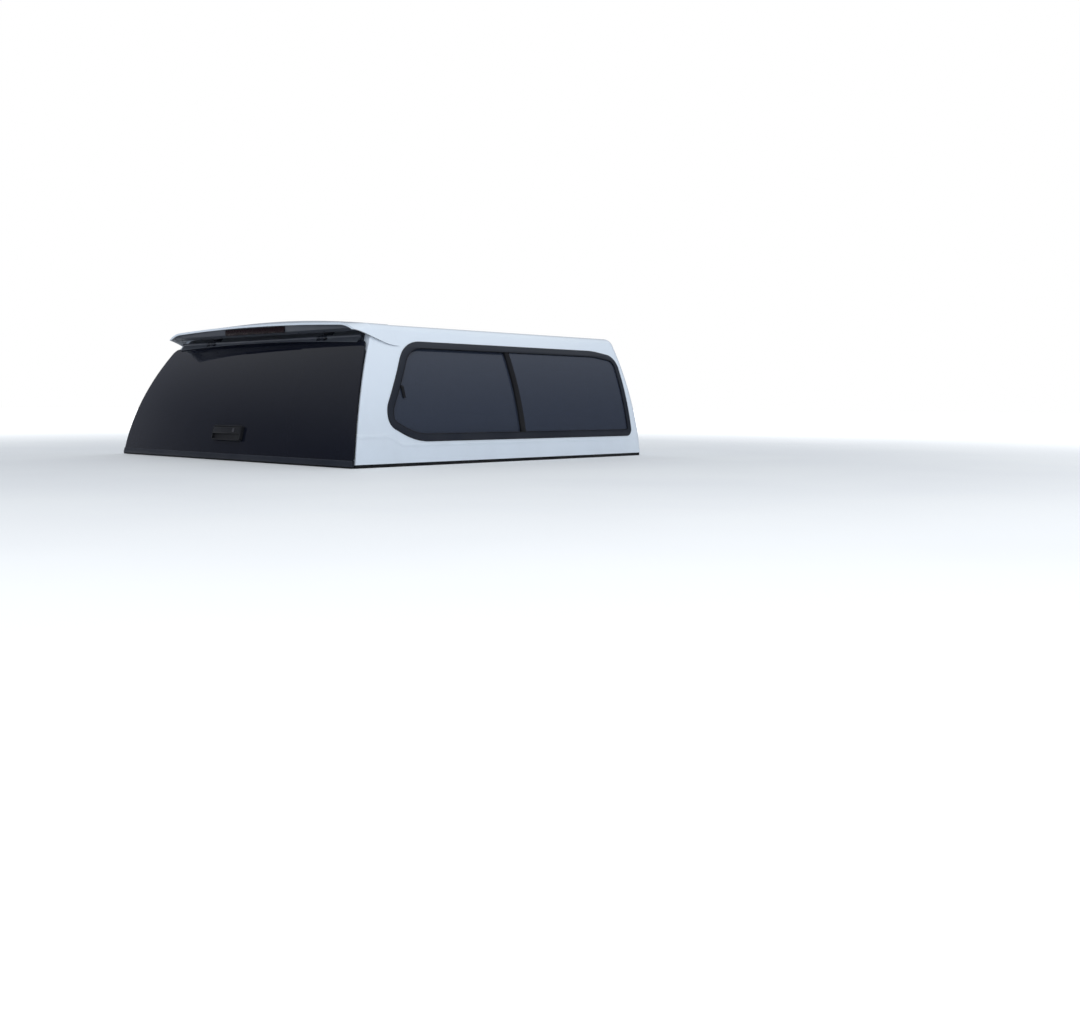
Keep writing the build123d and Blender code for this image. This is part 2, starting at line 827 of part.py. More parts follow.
def make_paddle():
    """Pull flap across the upper half of the housing, on two end pins."""
    half = handle_width / 2 - handle_rim - paddle_end_gap
    out = paddle_pivot_out
    flap = handle_box(
        -half,
        half,
        paddle_pivot_up - paddle_height + paddle_thickness / 2,
        paddle_pivot_up + paddle_thickness / 2,
        out - paddle_thickness / 2,
        out + paddle_thickness / 2,
    )
    long_edges = flap.edges().filter_by(Axis.X)
    flap = fillet(long_edges, paddle_edge_radius)
    pin = Pos(0, paddle_pivot_up, out) * Rot(0, 90, 0)
    flap = flap + pin * Cylinder(paddle_pin_radius, handle_width - 2 * handle_rim + paddle_pin_bite)
    return handle_plane() * flap


def make_lock():
    """Key barrel on the paddle."""
    low = paddle_pivot_up - paddle_height / 2 + paddle_thickness / 2
    out = paddle_pivot_out + paddle_thickness / 2
    barrel = Pos(handle_width / 4, low, out + lock_height / 2) * Cylinder(lock_radius, lock_height)
    slot = Pos(handle_width / 4, low, out + lock_height) * Box(lock_slot, lock_radius, lock_slot)
    return handle_plane() * (barrel - slot)


def make_latch_cover(glass):
    """Cover over the latch gear, on the inside of the glass behind the handle."""
    depth = glass_thickness + latch_cover_depth
    block = handle_box(
        -latch_cover_width / 2,
        latch_cover_width / 2,
        -latch_cover_height / 2,
        latch_cover_height / 2,
        -depth,
        over - glass_thickness,
    )
    inner_edges = block.faces().sort_by(Axis.Z)[0].edges()
    block = fillet(inner_edges, latch_cover_corner)
    return handle_plane() * block - glass


def latch_pin_place():
    """Striker pin in side view, as (y, z)."""
    y, z = rear_point(-latch_depth / 2, latch_z)
    return (y, z)


def make_latch(glass):
    """Right corner latch on the glass, with a slot for the striker pin."""
    outline = Pos(latch_x, latch_z) * Rectangle(latch_width, latch_height)
    body = rear_band(-latch_depth, glass_inner + over) & across_rear(outline)
    axis_y, axis_z = hinge_axis()
    pin_y, pin_z = latch_pin_place()
    reach = hypot(pin_y - axis_y, pin_z - axis_z)
    half = striker_pin_radius + latch_slot_play
    start = degrees(atan2(pin_z - axis_z, pin_y - axis_y))
    ring = Circle(reach + half) - Circle(reach - half)
    end = start + latch_slot_deg
    wedge = Polyline((0, 0), polar((0, 0), 2 * reach, start), polar((0, 0), 2 * reach, end), close=True)
    slot = (ring & make_face(wedge)) + Pos(*polar((0, 0), reach, start)) * Circle(half)
    slot = across_x(Pos(axis_y, axis_z) * slot, latch_x - latch_width, latch_x + latch_width)
    return body - slot - glass


def make_latch_rod():
    """Right rod from the latch cover to the corner latch."""
    y, z = rear_point(latch_rod_out - latch_depth / 2, latch_z + latch_rod_rise)
    start = latch_cover_width / 2
    return across_x(Pos(y, z) * Circle(latch_rod_radius), start, latch_x - latch_width / 2)


def make_striker():
    """Right striker: a plate on the edge of the rear opening and a pin through the latch."""
    y, z = latch_pin_place()
    plate_y = y + striker_depth / 4
    plate_x = latch_x + latch_width / 2 + striker_air
    plate = Pos(plate_y, z) * Rectangle(striker_depth, striker_height)
    plate = across_x(plate, plate_x, plate_x + striker_plate)
    pin = across_x(Pos(y, z) * Circle(striker_pin_radius), latch_x - latch_width / 2, plate_x + over)
    arm = Pos(plate_y + (striker_depth - striker_arm) / 2, z) * Rectangle(striker_arm, striker_height)
    arm = across_x(arm, plate_x, far) & inner_body()
    return plate + pin + arm


def spoiler_section(crown_z, roof_radius, roof_half, blend, slope, corner, flare, inset):
    """Whole spoiler section at one station, as roof, blend, corner and side arcs."""
    roof_centre = (0, crown_z - roof_radius)
    roof_angle = degrees(asin(roof_half / roof_radius))
    roof_r = roof_radius - inset
    roof_end = polar(roof_centre, roof_r, 90 - roof_angle)
    blend_centre = polar(roof_centre, roof_radius - blend, 90 - roof_angle)
    blend_end = polar(blend_centre, blend - inset, 90 - slope)
    blend_mid = polar(blend_centre, blend - inset, 90 - (slope + roof_angle) / 2)
    corner_centre = polar(blend_centre, blend - corner, 90 - slope)
    side_slope = spoiler_side_slope
    corner_end = polar(corner_centre, corner - inset, 90 - side_slope)
    corner_mid = polar(corner_centre, corner - inset, 90 - (slope + side_slope) / 2)
    run = (corner_end[1] - spoiler_foot_z) / tan(radians(side_slope))
    foot = (corner_end[0] + run + flare, spoiler_foot_z)
    edges = [
        Line(foot, corner_end),
        ThreePointArc(corner_end, corner_mid, blend_end),
        ThreePointArc(blend_end, blend_mid, roof_end),
        ThreePointArc(roof_end, polar(roof_centre, roof_r, 90 - roof_angle / 2), (0, crown_z - inset)),
    ]
    return closed_half(edges)


def at_station(section, y):
    """A rear-view section, x by z, stood up at a place along the body."""
    return (Plane(origin=(0, y, 0), x_dir=(1, 0, 0), z_dir=(0, -1, 0)) * section).face()


def spoiler_loft(inset):
    """The spoiler's outside, moved inwards by inset, from its front lip to its rear rim."""
    round_top = polar((shoulder_x, shoulder_z), shoulder_radius, 90 - roof_edge_slope)
    roof_radius = round_top[0] / sin(radians(roof_edge_slope))
    stations = []
    lifts = ((spoiler_front_y, spoiler_lip, 0), (spoiler_mid_y, spoiler_mid_lift, spoiler_mid_flare))
    for y, lift, flare in lifts:
        wider = roof_radius + lift
        section = spoiler_section(
            roof_z + lift,
            wider,
            (round_top[0] + flare) * wider / roof_radius,
            shoulder_radius + lift,
            spoiler_lip_slope,
            spoiler_lip_round + lift,
            lift,
            inset,
        )
        stations.append(at_station(section, y))
    rim = spoiler_section(
        spoiler_crown_z,
        spoiler_roof_radius,
        spoiler_roof_half,
        spoiler_blend_radius,
        spoiler_blend_slope,
        spoiler_corner_radius,
        0,
        inset,
    )
    stations.append(at_station(rim, spoiler_rear_y))
    return loft(stations, ruled=True)


def below_fin():
    """What lies under the lower edge of the spoiler's side wings."""
    rear_end = (spoiler_rear_y - fin_tip_setback, fin_tip_z)
    fin_front = (rear_y + fin_front_reach, fin_front_z)
    rear_bend = (rear_y + fin_rear_reach, fin_rear_z)
    edge = Spline(rear_end, rear_bend, (rear_y + fin_middle_reach, fin_middle_z), fin_front)
    end_y = fin_front[0] + fin_run_out
    floor = spoiler_foot_z - beyond
    rest = Polyline(fin_front, (end_y, fin_front_z), (end_y, floor), (rear_end[0], floor), rear_end)
    return across_x(face_of(edge, *rest.edges()), -far, far)


def make_spoiler(outside):
    hull = spoiler_loft(0)
    return hull - outside - spoiler_loft(spoiler_skin) - below_fin()


def panel_profile():
    """Side-view profile of the panel: an upright face that turns in under the spoiler."""
    t = panel_thickness
    inner_y = rear_y + panel_inner_reach
    corners = [
        (panel_face_y, spoiler_crown_z),
        (panel_face_y, panel_knee_z),
        (inner_y, panel_inner_z),
        (inner_y, panel_inner_z + t),
        (panel_face_y + t, panel_knee_z + t),
        (panel_face_y + t, spoiler_crown_z),
    ]
    return make_face(Polyline(*corners, close=True))


def lamp_top():
    """Top of the brake light: its ends stay clear of the arched roof of the spoiler."""
    drop = lamp_half_width**2 / (2 * spoiler_roof_radius)
    return spoiler_crown_z - spoiler_skin - lamp_top_gap - drop


def make_panel(outside):
    panel = across_x(panel_profile(), -far, far) & spoiler_loft(spoiler_skin)
    lamp = Pos(0, panel_face_y, lamp_top() - lamp_height / 2)
    cut_reach = 2 * (panel_thickness + lamp_housing_depth)
    cut = lamp * Box(2 * (lamp_half_width + lamp_gap), cut_reach, lamp_height + 2 * lamp_gap)
    return panel - cut - outside


def make_lens():
    depth = lamp_proud + panel_thickness
    middle = panel_face_y - lamp_proud + depth / 2
    lens = Box(2 * lamp_half_width, depth, lamp_height)
    lens = fillet(lens.edges().filter_by(Axis.Y), lamp_corner)
    return Pos(0, middle, lamp_top() - lamp_height / 2) * lens


def make_lamp_housing():
    start = panel_face_y + panel_thickness
    width = 2 * (lamp_half_width - lamp_housing_inset)
    box = Box(width, lamp_housing_depth, lamp_height - lamp_housing_inset)
    box = fillet(box.edges().filter_by(Axis.Y), lamp_corner)
    return Pos(0, start + lamp_housing_depth / 2, lamp_top() - lamp_height / 2) * box


def build():
    """Every sub-part by its name."""
    outside = envelope()
    glass = make_rear_glass()
    top_rail = make_top_rail(glass)
    front_glass = make_front_glass()
    parts = {
        "shell": make_shell(),
        "rear_spoiler": make_spoiler(outside),
        "spoiler_under_panel": make_panel(outside),
        "brake_light_lens": make_lens(),
        "brake_light_housing": make_lamp_housing(),
        "base_seal": make_base_seal(),
        "front_mounting_rail": make_front_rail(),
        "front_window_gasket": make_front_gasket(front_glass),
        "front_window_glass": front_glass,
        "rear_door_seal": make_door_seal(),
        "rear_glass": glass,
        "door_gutter": make_gutter(),
        "door_top_rail": top_rail,
        "door_bottom_rail": make_door_rail(glass),
        "door_bottom_seal": make_door_bottom_seal(),
        "handle_base": make_handle_base(glass),
        "handle_paddle": make_paddle(),
        "handle_lock": make_lock(),
        "inner_latch_cover": make_latch_cover(glass),
    }
    front_pane, rear_pane, divider = make_panes()
    right_pieces = {
        "mounting_rail": make_side_rail(),
        "window_frame": make_window_frame(),
        "window_front_pane": front_pane,
        "window_rear_pane": rear_pane,
        "window_divider": divider,
        "window_pull": make_latch_pull(),
        "striker": make_striker(),
        "corner_latch": make_latch(glass),
        "latch_rod": make_latch_rod(),
        "hinge_bracket": make_hinge_bracket(hinge_x),
        "hinge_leaf": make_hinge_leaf(hinge_x, glass, top_rail),
    }
    for name, piece in right_pieces.items():
        parts["right_" + name] = piece
        parts["left_" + name] = other_side(piece)
    return parts


if __name__ == "__main__":
    os.makedirs("parts", exist_ok=True)
    for part_name, shape in build().items():
        export_step(shape, f"parts/{part_name}.step")
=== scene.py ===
"""Looks of a white moulded pickup canopy: its finishes, small parts and studio."""

import json
import logging
import math
from contextlib import contextmanager
from dataclasses import dataclass
from enum import Enum
from typing import Callable, Iterator

import bmesh
import bpy
from mathutils import Matrix, Vector
from mathutils.bvhtree import BVHTree


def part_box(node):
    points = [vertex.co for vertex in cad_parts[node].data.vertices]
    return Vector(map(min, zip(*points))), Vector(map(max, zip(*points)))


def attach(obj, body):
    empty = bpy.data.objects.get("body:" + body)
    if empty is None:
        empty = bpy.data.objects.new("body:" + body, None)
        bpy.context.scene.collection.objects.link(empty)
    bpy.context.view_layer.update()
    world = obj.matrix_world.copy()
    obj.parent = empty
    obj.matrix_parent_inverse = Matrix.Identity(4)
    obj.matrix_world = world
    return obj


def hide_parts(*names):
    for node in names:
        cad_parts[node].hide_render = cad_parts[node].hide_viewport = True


logging.basicConfig(level=logging.INFO, format="%(message)s")
log = logging.getLogger("canopy")

Colour = tuple[float, float, float]
Point = tuple[float, float, float]
Socket = bpy.types.NodeSocket
Piece = bpy.types.Object

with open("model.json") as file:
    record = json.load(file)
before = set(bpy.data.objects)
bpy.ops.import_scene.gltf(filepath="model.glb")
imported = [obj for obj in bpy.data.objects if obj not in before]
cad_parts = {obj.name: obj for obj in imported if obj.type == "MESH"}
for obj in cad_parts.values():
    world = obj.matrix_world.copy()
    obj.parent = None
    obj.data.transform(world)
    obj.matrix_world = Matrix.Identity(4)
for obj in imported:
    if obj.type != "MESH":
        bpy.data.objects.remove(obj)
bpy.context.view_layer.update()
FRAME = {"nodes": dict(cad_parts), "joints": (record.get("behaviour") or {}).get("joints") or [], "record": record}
MM = 0.001
WELD = 0.01 * MM
FLAT_BEND = math.radians(0.5)
ROUNDED_BEND = math.radians(38)
SMOOTH_BEND = math.radians(32)
STAND_OFF = 0.05
FILM_COLOUR = (0.33, 0.31, 0.28)


class Side(Enum):
    """The two sides of the vehicle, as the sign of x."""

    LEFT = -1
    RIGHT = 1

    @property
    def prefix(self) -> str:
        """The word that this side's pieces start with."""
        return self.name.lower() + "_"


class Body(Enum):
    """The rigid bodies that pieces ride on."""

    CANOPY = "canopy"
    DOOR = "rear_door"
    HANDLE = "handle"


class Recipe:
    """A short way to lay out the nodes of one material or one node group."""

    def __init__(self, tree: bpy.types.NodeTree) -> None:
        """Keeps the node tree to fill."""
        self.tree = tree

    def add(self, kind: str, inputs: dict | None = None, **settings: object) -> bpy.types.Node:
        """Adds a node, sets its properties and fills or links its inputs.

        Args:
            kind: Node type, such as ShaderNodeTexNoise.
            inputs: Value or output socket for each input, by name or number.
            **settings: Properties of the node.

        Returns:
            The new node.
        """
        node = self.tree.nodes.new(kind)
        for name, value in settings.items():
            setattr(node, name, value)
        self.feed(node, inputs or {})
        return node

    def feed(self, node: bpy.types.Node, inputs: dict) -> None:
        """Fills or links a node's inputs.

        Args:
            node: The node.
            inputs: Value or output socket for each input, by name or number.
        """
        for key, value in inputs.items():
            if isinstance(value, Socket):
                self.tree.links.new(value, node.inputs[key])
            else:
                node.inputs[key].default_value = value

    def math(self, operation: str, *values: object) -> Socket:
        """The result of a math node on one to three numbers or sockets."""
        return self.add("ShaderNodeMath", dict(enumerate(values)), operation=operation).outputs[0]

    def vector_math(self, operation: str, *values: object) -> bpy.types.Node:
        """Adds a vector math node for one or two vectors."""
        return self.add("ShaderNodeVectorMath", dict(enumerate(values)), operation=operation)

    def axis(self, where: Socket, name: str) -> Socket:
        """One coordinate, X, Y or Z, of a vector."""
        return self.add("ShaderNodeSeparateXYZ", {0: where}).outputs[name]

    def bump(self, height: Socket, distance: float) -> Socket:
        """A normal that follows a height, with this many metres to its unit."""
        inputs = {"Height": height, "Distance": distance, "Strength": 1.0}
        return self.add("ShaderNodeBump", inputs).outputs[0]

    def noise(self, where: Socket, scale: object, detail: float = 3.0, rough: float = 0.5) -> Socket:
        """Noise from 0 to 1, by features per metre, and by number and weight of finer layers."""
        inputs = {"Vector": where, "Scale": scale, "Detail": detail, "Roughness": rough}
        return self.add("ShaderNodeTexNoise", inputs).outputs["Fac"]

    def remap(
        self, value: Socket, low: float, high: float, start: float = 0.0, end: float = 1.0,
    ) -> Socket:
        """Maps a value that runs from low to high to one from start to end, smoothly and clamped."""
        inputs = {0: value, 1: low, 2: high, 3: start, 4: end}
        return self.add("ShaderNodeMapRange", inputs, interpolation_type="SMOOTHSTEP").outputs[0]

    def mix(self, factor: object, first: object, second: object) -> Socket:
        """Mixes two colours by the second one's share."""
        inputs = {0: factor, 6: shade(first), 7: shade(second)}
        return self.add("ShaderNodeMix", inputs, data_type="RGBA").outputs[2]


def shade(value: object) -> object:
    """A colour with its alpha, or the socket as it is."""
    return value if isinstance(value, Socket) else (*value, 1.0)


def make_group(
    name: str, inputs: dict[str, str], outputs: dict[str, str],
) -> tuple[Recipe, dict[str, Socket], bpy.types.Node]:
    """Starts a shader node group with named sockets.

    Args:
        name: The group's name.
        inputs: Socket type of each input.
        outputs: Socket type of each output.

    Returns:
        The group's recipe, what it is given by name, and its output node.
    """
    tree = bpy.data.node_groups.new(name, "ShaderNodeTree")
    for way, sockets in (("INPUT", inputs), ("OUTPUT", outputs)):
        for label, kind in sockets.items():
            tree.interface.new_socket(label, in_out=way, socket_type=kind)
    recipe = Recipe(tree)
    given = recipe.add("NodeGroupInput").outputs
    return recipe, {label: given[label] for label in inputs}, recipe.add("NodeGroupOutput")


FLOAT = "NodeSocketFloat"
COLOUR = "NodeSocketColor"
VECTOR = "NodeSocketVector"


def build_tone_group() -> bpy.types.NodeTree:
    """Cloudy colour and gloss variation over a surface.

    Returns:
        A group that gives a colour and a roughness.
    """
    recipe, given, out = make_group(
        "cloudy_tone",
        {
            "Vector": VECTOR, "Colour": COLOUR, "Second": COLOUR,
            "Scale": FLOAT, "Roughness": FLOAT, "Spread": FLOAT,
        },
        {"Colour": COLOUR, "Roughness": FLOAT},
    )
    broad = recipe.noise(given["Vector"], given["Scale"], detail=4.0)
    fine_scale = recipe.math("MULTIPLY", given["Scale"], 11.0)
    fine = recipe.noise(given["Vector"], fine_scale, detail=6.0, rough=0.65)
    cloud = recipe.remap(broad, 0.35, 0.65)
    smudge = recipe.math("SUBTRACT", fine, 0.5)
    spread = recipe.math("MULTIPLY", smudge, given["Spread"])
    recipe.feed(out, {
        "Colour": recipe.mix(cloud, given["Colour"], given["Second"]),
        "Roughness": recipe.math("ADD", given["Roughness"], spread),
    })
    return recipe.tree


def build_film_group() -> bpy.types.NodeTree:
    """Road film that thins out upwards, with fine spots.

    Returns:
        A group that gives a mask.
    """
    recipe, given, out = make_group(
        "road_film", {"Vector": VECTOR, "Top": FLOAT, "Amount": FLOAT}, {"Mask": FLOAT})
    share = recipe.math("DIVIDE", recipe.axis(given["Vector"], "Z"), given["Top"])
    fade = recipe.remap(share, 0.0, 1.0, start=1.0, end=0.12)
    cloud = recipe.noise(given["Vector"], 5.0, detail=6.0, rough=0.6)
    spots = recipe.noise(given["Vector"], 420.0, detail=2.0)
    patch = recipe.math("MULTIPLY", fade, recipe.remap(cloud, 0.3, 0.75))
    spot = recipe.math("MULTIPLY", recipe.remap(spots, 0.42, 0.7, start=0.55), given["Amount"])
    recipe.feed(out, {"Mask": recipe.math("MULTIPLY", patch, spot)})
    return recipe.tree


def build_grain_group() -> bpy.types.NodeTree:
    """Fine cell grain of moulded plastic or rubber.

    Returns:
        A group that gives a height.
    """
    recipe, given, out = make_group(
        "moulded_grain", {"Vector": VECTOR, "Scale": FLOAT}, {"Height": FLOAT})
    cells = recipe.add("ShaderNodeTexVoronoi", dict(given), feature="SMOOTH_F1").outputs["Distance"]
    fine = recipe.noise(given["Vector"], given["Scale"], detail=2.0)
    recipe.feed(out, {"Height": recipe.math("ADD", cells, fine)})
    return recipe.tree


def build_wear_group() -> bpy.types.NodeTree:
    """Rubbed edges: where the surface bends sharply, broken up by noise.

    Returns:
        A group that gives a mask.
    """
    recipe, given, out = make_group(
        "edge_wear", {"Vector": VECTOR, "Pointiness": FLOAT, "Amount": FLOAT}, {"Mask": FLOAT})
    edge = recipe.remap(given["Pointiness"], 0.51, 0.6)
    broken = recipe.remap(recipe.noise(given["Vector"], 160.0, detail=5.0, rough=0.7), 0.42, 0.62)
    mask = recipe.math("MULTIPLY", recipe.math("MULTIPLY", edge, broken), given["Amount"])
    recipe.feed(out, {"Mask": mask})
    return recipe.tree


class Kit:
    """The shader node groups that several finishes share, and the materials made so far."""

    groups: dict[str, bpy.types.NodeTree] = {}
    materials: dict[str, bpy.types.Material] = {}

    @classmethod
    def build(cls) -> None:
        """Makes every shared group once."""
        cls.groups = {
            "tone": build_tone_group(),
            "film": build_film_group(),
            "grain": build_grain_group(),
            "wear": build_wear_group(),
        }


class Surface(Recipe):
    """The nodes of one material, with its shader and Object coordinates."""

    def __init__(self, name: str) -> None:
        """Starts the material.

        Args:
            name: The finish's name.
        """
        self.material = bpy.data.materials.new(name + "_finish")
        self.material.use_nodes = True
        super().__init__(self.material.node_tree)
        self.tree.nodes.clear()
        self.shader = self.add("ShaderNodeBsdfPrincipled")
        self.add("ShaderNodeOutputMaterial", {0: self.shader.outputs[0]})
        self.where = self.add("ShaderNodeTexCoord").outputs["Object"]

    def group(self, name: str, **inputs: object) -> bpy.types.bpy_prop_collection:
        """Puts a shared group into the material.

        Args:
            name: The group's short name.
            **inputs: Values or sockets for its inputs, apart from the coordinates.

        Returns:
            The group's outputs.
        """
        inputs["Vector"] = self.where
        return self.add("ShaderNodeGroup", inputs, node_tree=Kit.groups[name]).outputs

    def film(self, top: float, amount: float) -> Socket:
        """The mask of a road film that has nearly gone at the top height."""
        return self.group("film", Top=top, Amount=amount)["Mask"]

    def finish(self, inputs: dict[str, object]) -> bpy.types.Material:
        """Feeds the shader and gives the finished material."""
        self.feed(self.shader, inputs)
        return self.material


@dataclass(frozen=True)
class MouldedFinish:
    """A painted, moulded or metal finish with cloudy tone, film, grain and wear.

    Attributes:
        name: The material's name.
        colour: Main colour.
        second: Colour of the cloudy patches.
        roughness: Mean roughness.
        spread: How much the roughness varies.
        metallic: 1 for bare metal.
        film: Amount of road film.
        film_top: Height where the film has nearly gone.
        grain: Cells of grain per metre.
        grain_depth: Depth of the grain, in metres.
        wear: Amount of rubbed edge.
        worn: Colour of a rubbed edge.
        specular: Strength of the plain reflection.
        tone_scale: Cloudy patches per metre.
    """

    name: str
    colour: Colour
    second: Colour
    roughness: float
    spread: float
    metallic: float = 0.0
    film: float = 0.2
    film_top: float = 0.35
    grain: float = 900.0
    grain_depth: float = 0.00002
    wear: float = 0.0
    worn: Colour = (0.3, 0.3, 0.3)
    specular: float = 0.5
    tone_scale: float = 2.6

    def build(self) -> bpy.types.Material:
        """Builds the material.

        Returns:
            The material.
        """
        nodes = Surface(self.name)
        tone = nodes.group(
            "tone", Colour=shade(self.colour), Second=shade(self.second),
            Scale=self.tone_scale, Roughness=self.roughness, Spread=self.spread)
        colour = tone["Colour"]
        if self.wear:
            pointy = nodes.add("ShaderNodeNewGeometry").outputs["Pointiness"]
            rubbed = nodes.group("wear", Pointiness=pointy, Amount=self.wear)["Mask"]
            colour = nodes.mix(rubbed, colour, self.worn)
        film = nodes.film(self.film_top, self.film)
        grain = nodes.group("grain", Scale=self.grain)["Height"]
        return nodes.finish({
            "Base Color": nodes.mix(film, colour, FILM_COLOUR),
            "Roughness": nodes.math("ADD", tone["Roughness"], nodes.math("MULTIPLY", film, 0.35)),
            "Normal": nodes.bump(grain, self.grain_depth),
            "Metallic": self.metallic,
            "Specular IOR Level": self.specular,
        })


@dataclass(frozen=True)
class GlassFinish:
    """Dark tinted glass with faint smears and a thin road film.

    Attributes:
        name: The material's name.
        colour: Tint.
        transmission: Share of light that goes through.
        film: Amount of road film.
        specular: Strength of the plain reflection.
        film_top: Height where the film has nearly gone.
        film_colour: Colour of the film.
        ripple_depth: Depth of the glass's slow waves, in metres.
    """

    name: str
    colour: Colour
    transmission: float
    film: float
    specular: float
    film_top: float = 0.4
    film_colour: Colour = (0.22, 0.22, 0.22)
    ripple_depth: float = 0.0006

    def build(self) -> bpy.types.Material:
        """Builds the material.

        Returns:
            The material.
        """
        nodes = Surface(self.name)
        film = nodes.film(self.film_top, self.film)
        smear = nodes.remap(nodes.noise(nodes.where, 9.0, detail=5.0, rough=0.6), 0.45, 0.75, end=0.06)
        polish = nodes.math("ADD", smear, 0.015)
        ripple = nodes.noise(nodes.where, 2.2, detail=1.0, rough=0.4)
        return nodes.finish({
            "Base Color": nodes.mix(film, self.colour, self.film_colour),
            "Roughness": nodes.math("ADD", polish, nodes.math("MULTIPLY", film, 0.5)),
            "Normal": nodes.bump(ripple, self.ripple_depth),
            "Transmission Weight": self.transmission,
            "IOR": 1.5,
            "Specular IOR Level": self.specular,
        })


@dataclass(frozen=True)
class LensFinish:
    """Smoked red lens with upright ribs moulded into it.

    Attributes:
        name: The material's name.
        colour: Colour of the plastic.
        rib_pitch: Distance between ribs.
        rib_depth: Depth of the ribs.
        deep_share: How dark the plastic's cloudy patches are.
    """

    name: str
    colour: Colour
    rib_pitch: float = 6 * MM
    rib_depth: float = 0.2 * MM
    deep_share: float = 0.6

    def build(self) -> bpy.types.Material:
        """Builds the material.

        Returns:
            The material.
        """
        nodes = Surface(self.name)
        turns = nodes.math("MULTIPLY", nodes.axis(nodes.where, "X"), 2 * math.pi / self.rib_pitch)
        cloud = nodes.noise(nodes.where, 40.0)
        deep = tuple(self.deep_share * part for part in self.colour)
        return nodes.finish({
            "Base Color": nodes.mix(nodes.remap(cloud, 0.3, 0.7), self.colour, deep),
            "Roughness": nodes.remap(cloud, 0.3, 0.7, start=0.2, end=0.32),
            "Normal": nodes.bump(nodes.math("SINE", turns), self.rib_depth),
            "Specular IOR Level": 0.08,
        })


@dataclass(frozen=True)
class ShellFinish:
    """The moulding: glossy outside, speckled flow coat inside.

    Attributes:
        name: The material's name.
        colour: Main colour outside.
        second: Colour of the cloudy patches outside.
        inner: Colour of the flow coat.
        centre_height: Height of the point that the outside faces away from.
        film: Amount of road film.
        film_top: Height where the film has nearly gone.
        crease_low: Height of the body crease under the window.
        crease_rise: How much higher it runs behind the window.
        crease_bend: Where it rises, from its rear end to its front end.
        crease_half: Half the width of its soft ridge.
        crease_height: Its height in units of the relief.
        crease_end: Where it fades out at the front, from full to none.
        relief_depth: The relief's unit, in metres.
        speck_share: How dark the flow coat's specks are.
    """

    name: str
    colour: Colour
    second: Colour
    inner: Colour
    centre_height: float = 0.15
    film: float = 0.14
    film_top: float = 0.3
    crease_low: float = 0.087
    crease_rise: float = 0.036
    crease_bend: tuple[float, float] = (-0.73, -0.63)
    crease_half: float = 0.013
    crease_height: float = 3.2
    crease_end: tuple[float, float] = (0.85, 0.9)
    relief_depth: float = 0.8 * MM
    speck_share: float = 0.55

    def build(self) -> bpy.types.Material:
        """Builds the material.

        Returns:
            The material.
        """
        nodes = Surface(self.name)
        where = nodes.where
        tone = nodes.group(
            "tone", Colour=shade(self.colour), Second=shade(self.second),
            Scale=1.4, Roughness=0.2, Spread=0.08)
        film = nodes.film(self.film_top, self.film)
        outside = nodes.mix(film, tone["Colour"], FILM_COLOUR)
        inside = self.inside_mask(nodes)
        speck = nodes.remap(nodes.noise(where, 320.0, rough=0.7), 0.5, 0.64)
        coat = nodes.mix(speck, self.inner, tuple(self.speck_share * part for part in self.inner))
        filmed = nodes.math("ADD", tone["Roughness"], nodes.math("MULTIPLY", film, 0.4))
        peel = nodes.math("MULTIPLY", nodes.noise(where, 240.0, detail=2.0), 0.06)
        strand = nodes.math("MULTIPLY", nodes.noise(where, 75.0, detail=4.0, rough=0.6), inside)
        height = nodes.math("ADD", nodes.math("ADD", peel, strand), self.crease(nodes))
        return nodes.finish({
            "Base Color": nodes.mix(inside, outside, coat),
            "Roughness": nodes.math("ADD", filmed, nodes.math("MULTIPLY", inside, 0.4)),
            "Normal": nodes.bump(height, self.relief_depth),
            "Coat Weight": nodes.math("SUBTRACT", 0.5, nodes.math("MULTIPLY", inside, 0.5)),
            "Coat Roughness": 0.05,
        })

    def crease(self, nodes: Surface) -> Socket:
        """The soft ridge along the body side, under the window and up behind it.

        Args:
            nodes: The material's nodes.

        Returns:
            The ridge's height, 0 away from it.
        """
        along = nodes.axis(nodes.where, "Y")
        behind = self.crease_low + self.crease_rise
        line = nodes.remap(along, *self.crease_bend, start=behind, end=self.crease_low)
        off = nodes.math("ABSOLUTE", nodes.math("SUBTRACT", nodes.axis(nodes.where, "Z"), line))
        ridge = nodes.remap(off, 0.0, self.crease_half, start=self.crease_height, end=0.0)
        beside = nodes.remap(along, *self.crease_end, start=1.0, end=0.0)
        return nodes.math("MULTIPLY", ridge, beside)

    def inside_mask(self, nodes: Surface) -> Socket:
        """Where the surface faces the middle of the cargo space.

        Args:
            nodes: The material's nodes.

        Returns:
            The mask, 1 inside.
        """
        normal = nodes.add("ShaderNodeNewGeometry").outputs["Normal"]
        ray = nodes.vector_math("SUBTRACT", nodes.where, (0.0, 0.0, self.centre_height)).outputs[0]
        away = nodes.vector_math("DOT_PRODUCT", normal, ray).outputs["Value"]
        return nodes.remap(away, -0.03, 0.0, start=1.0, end=0.0)


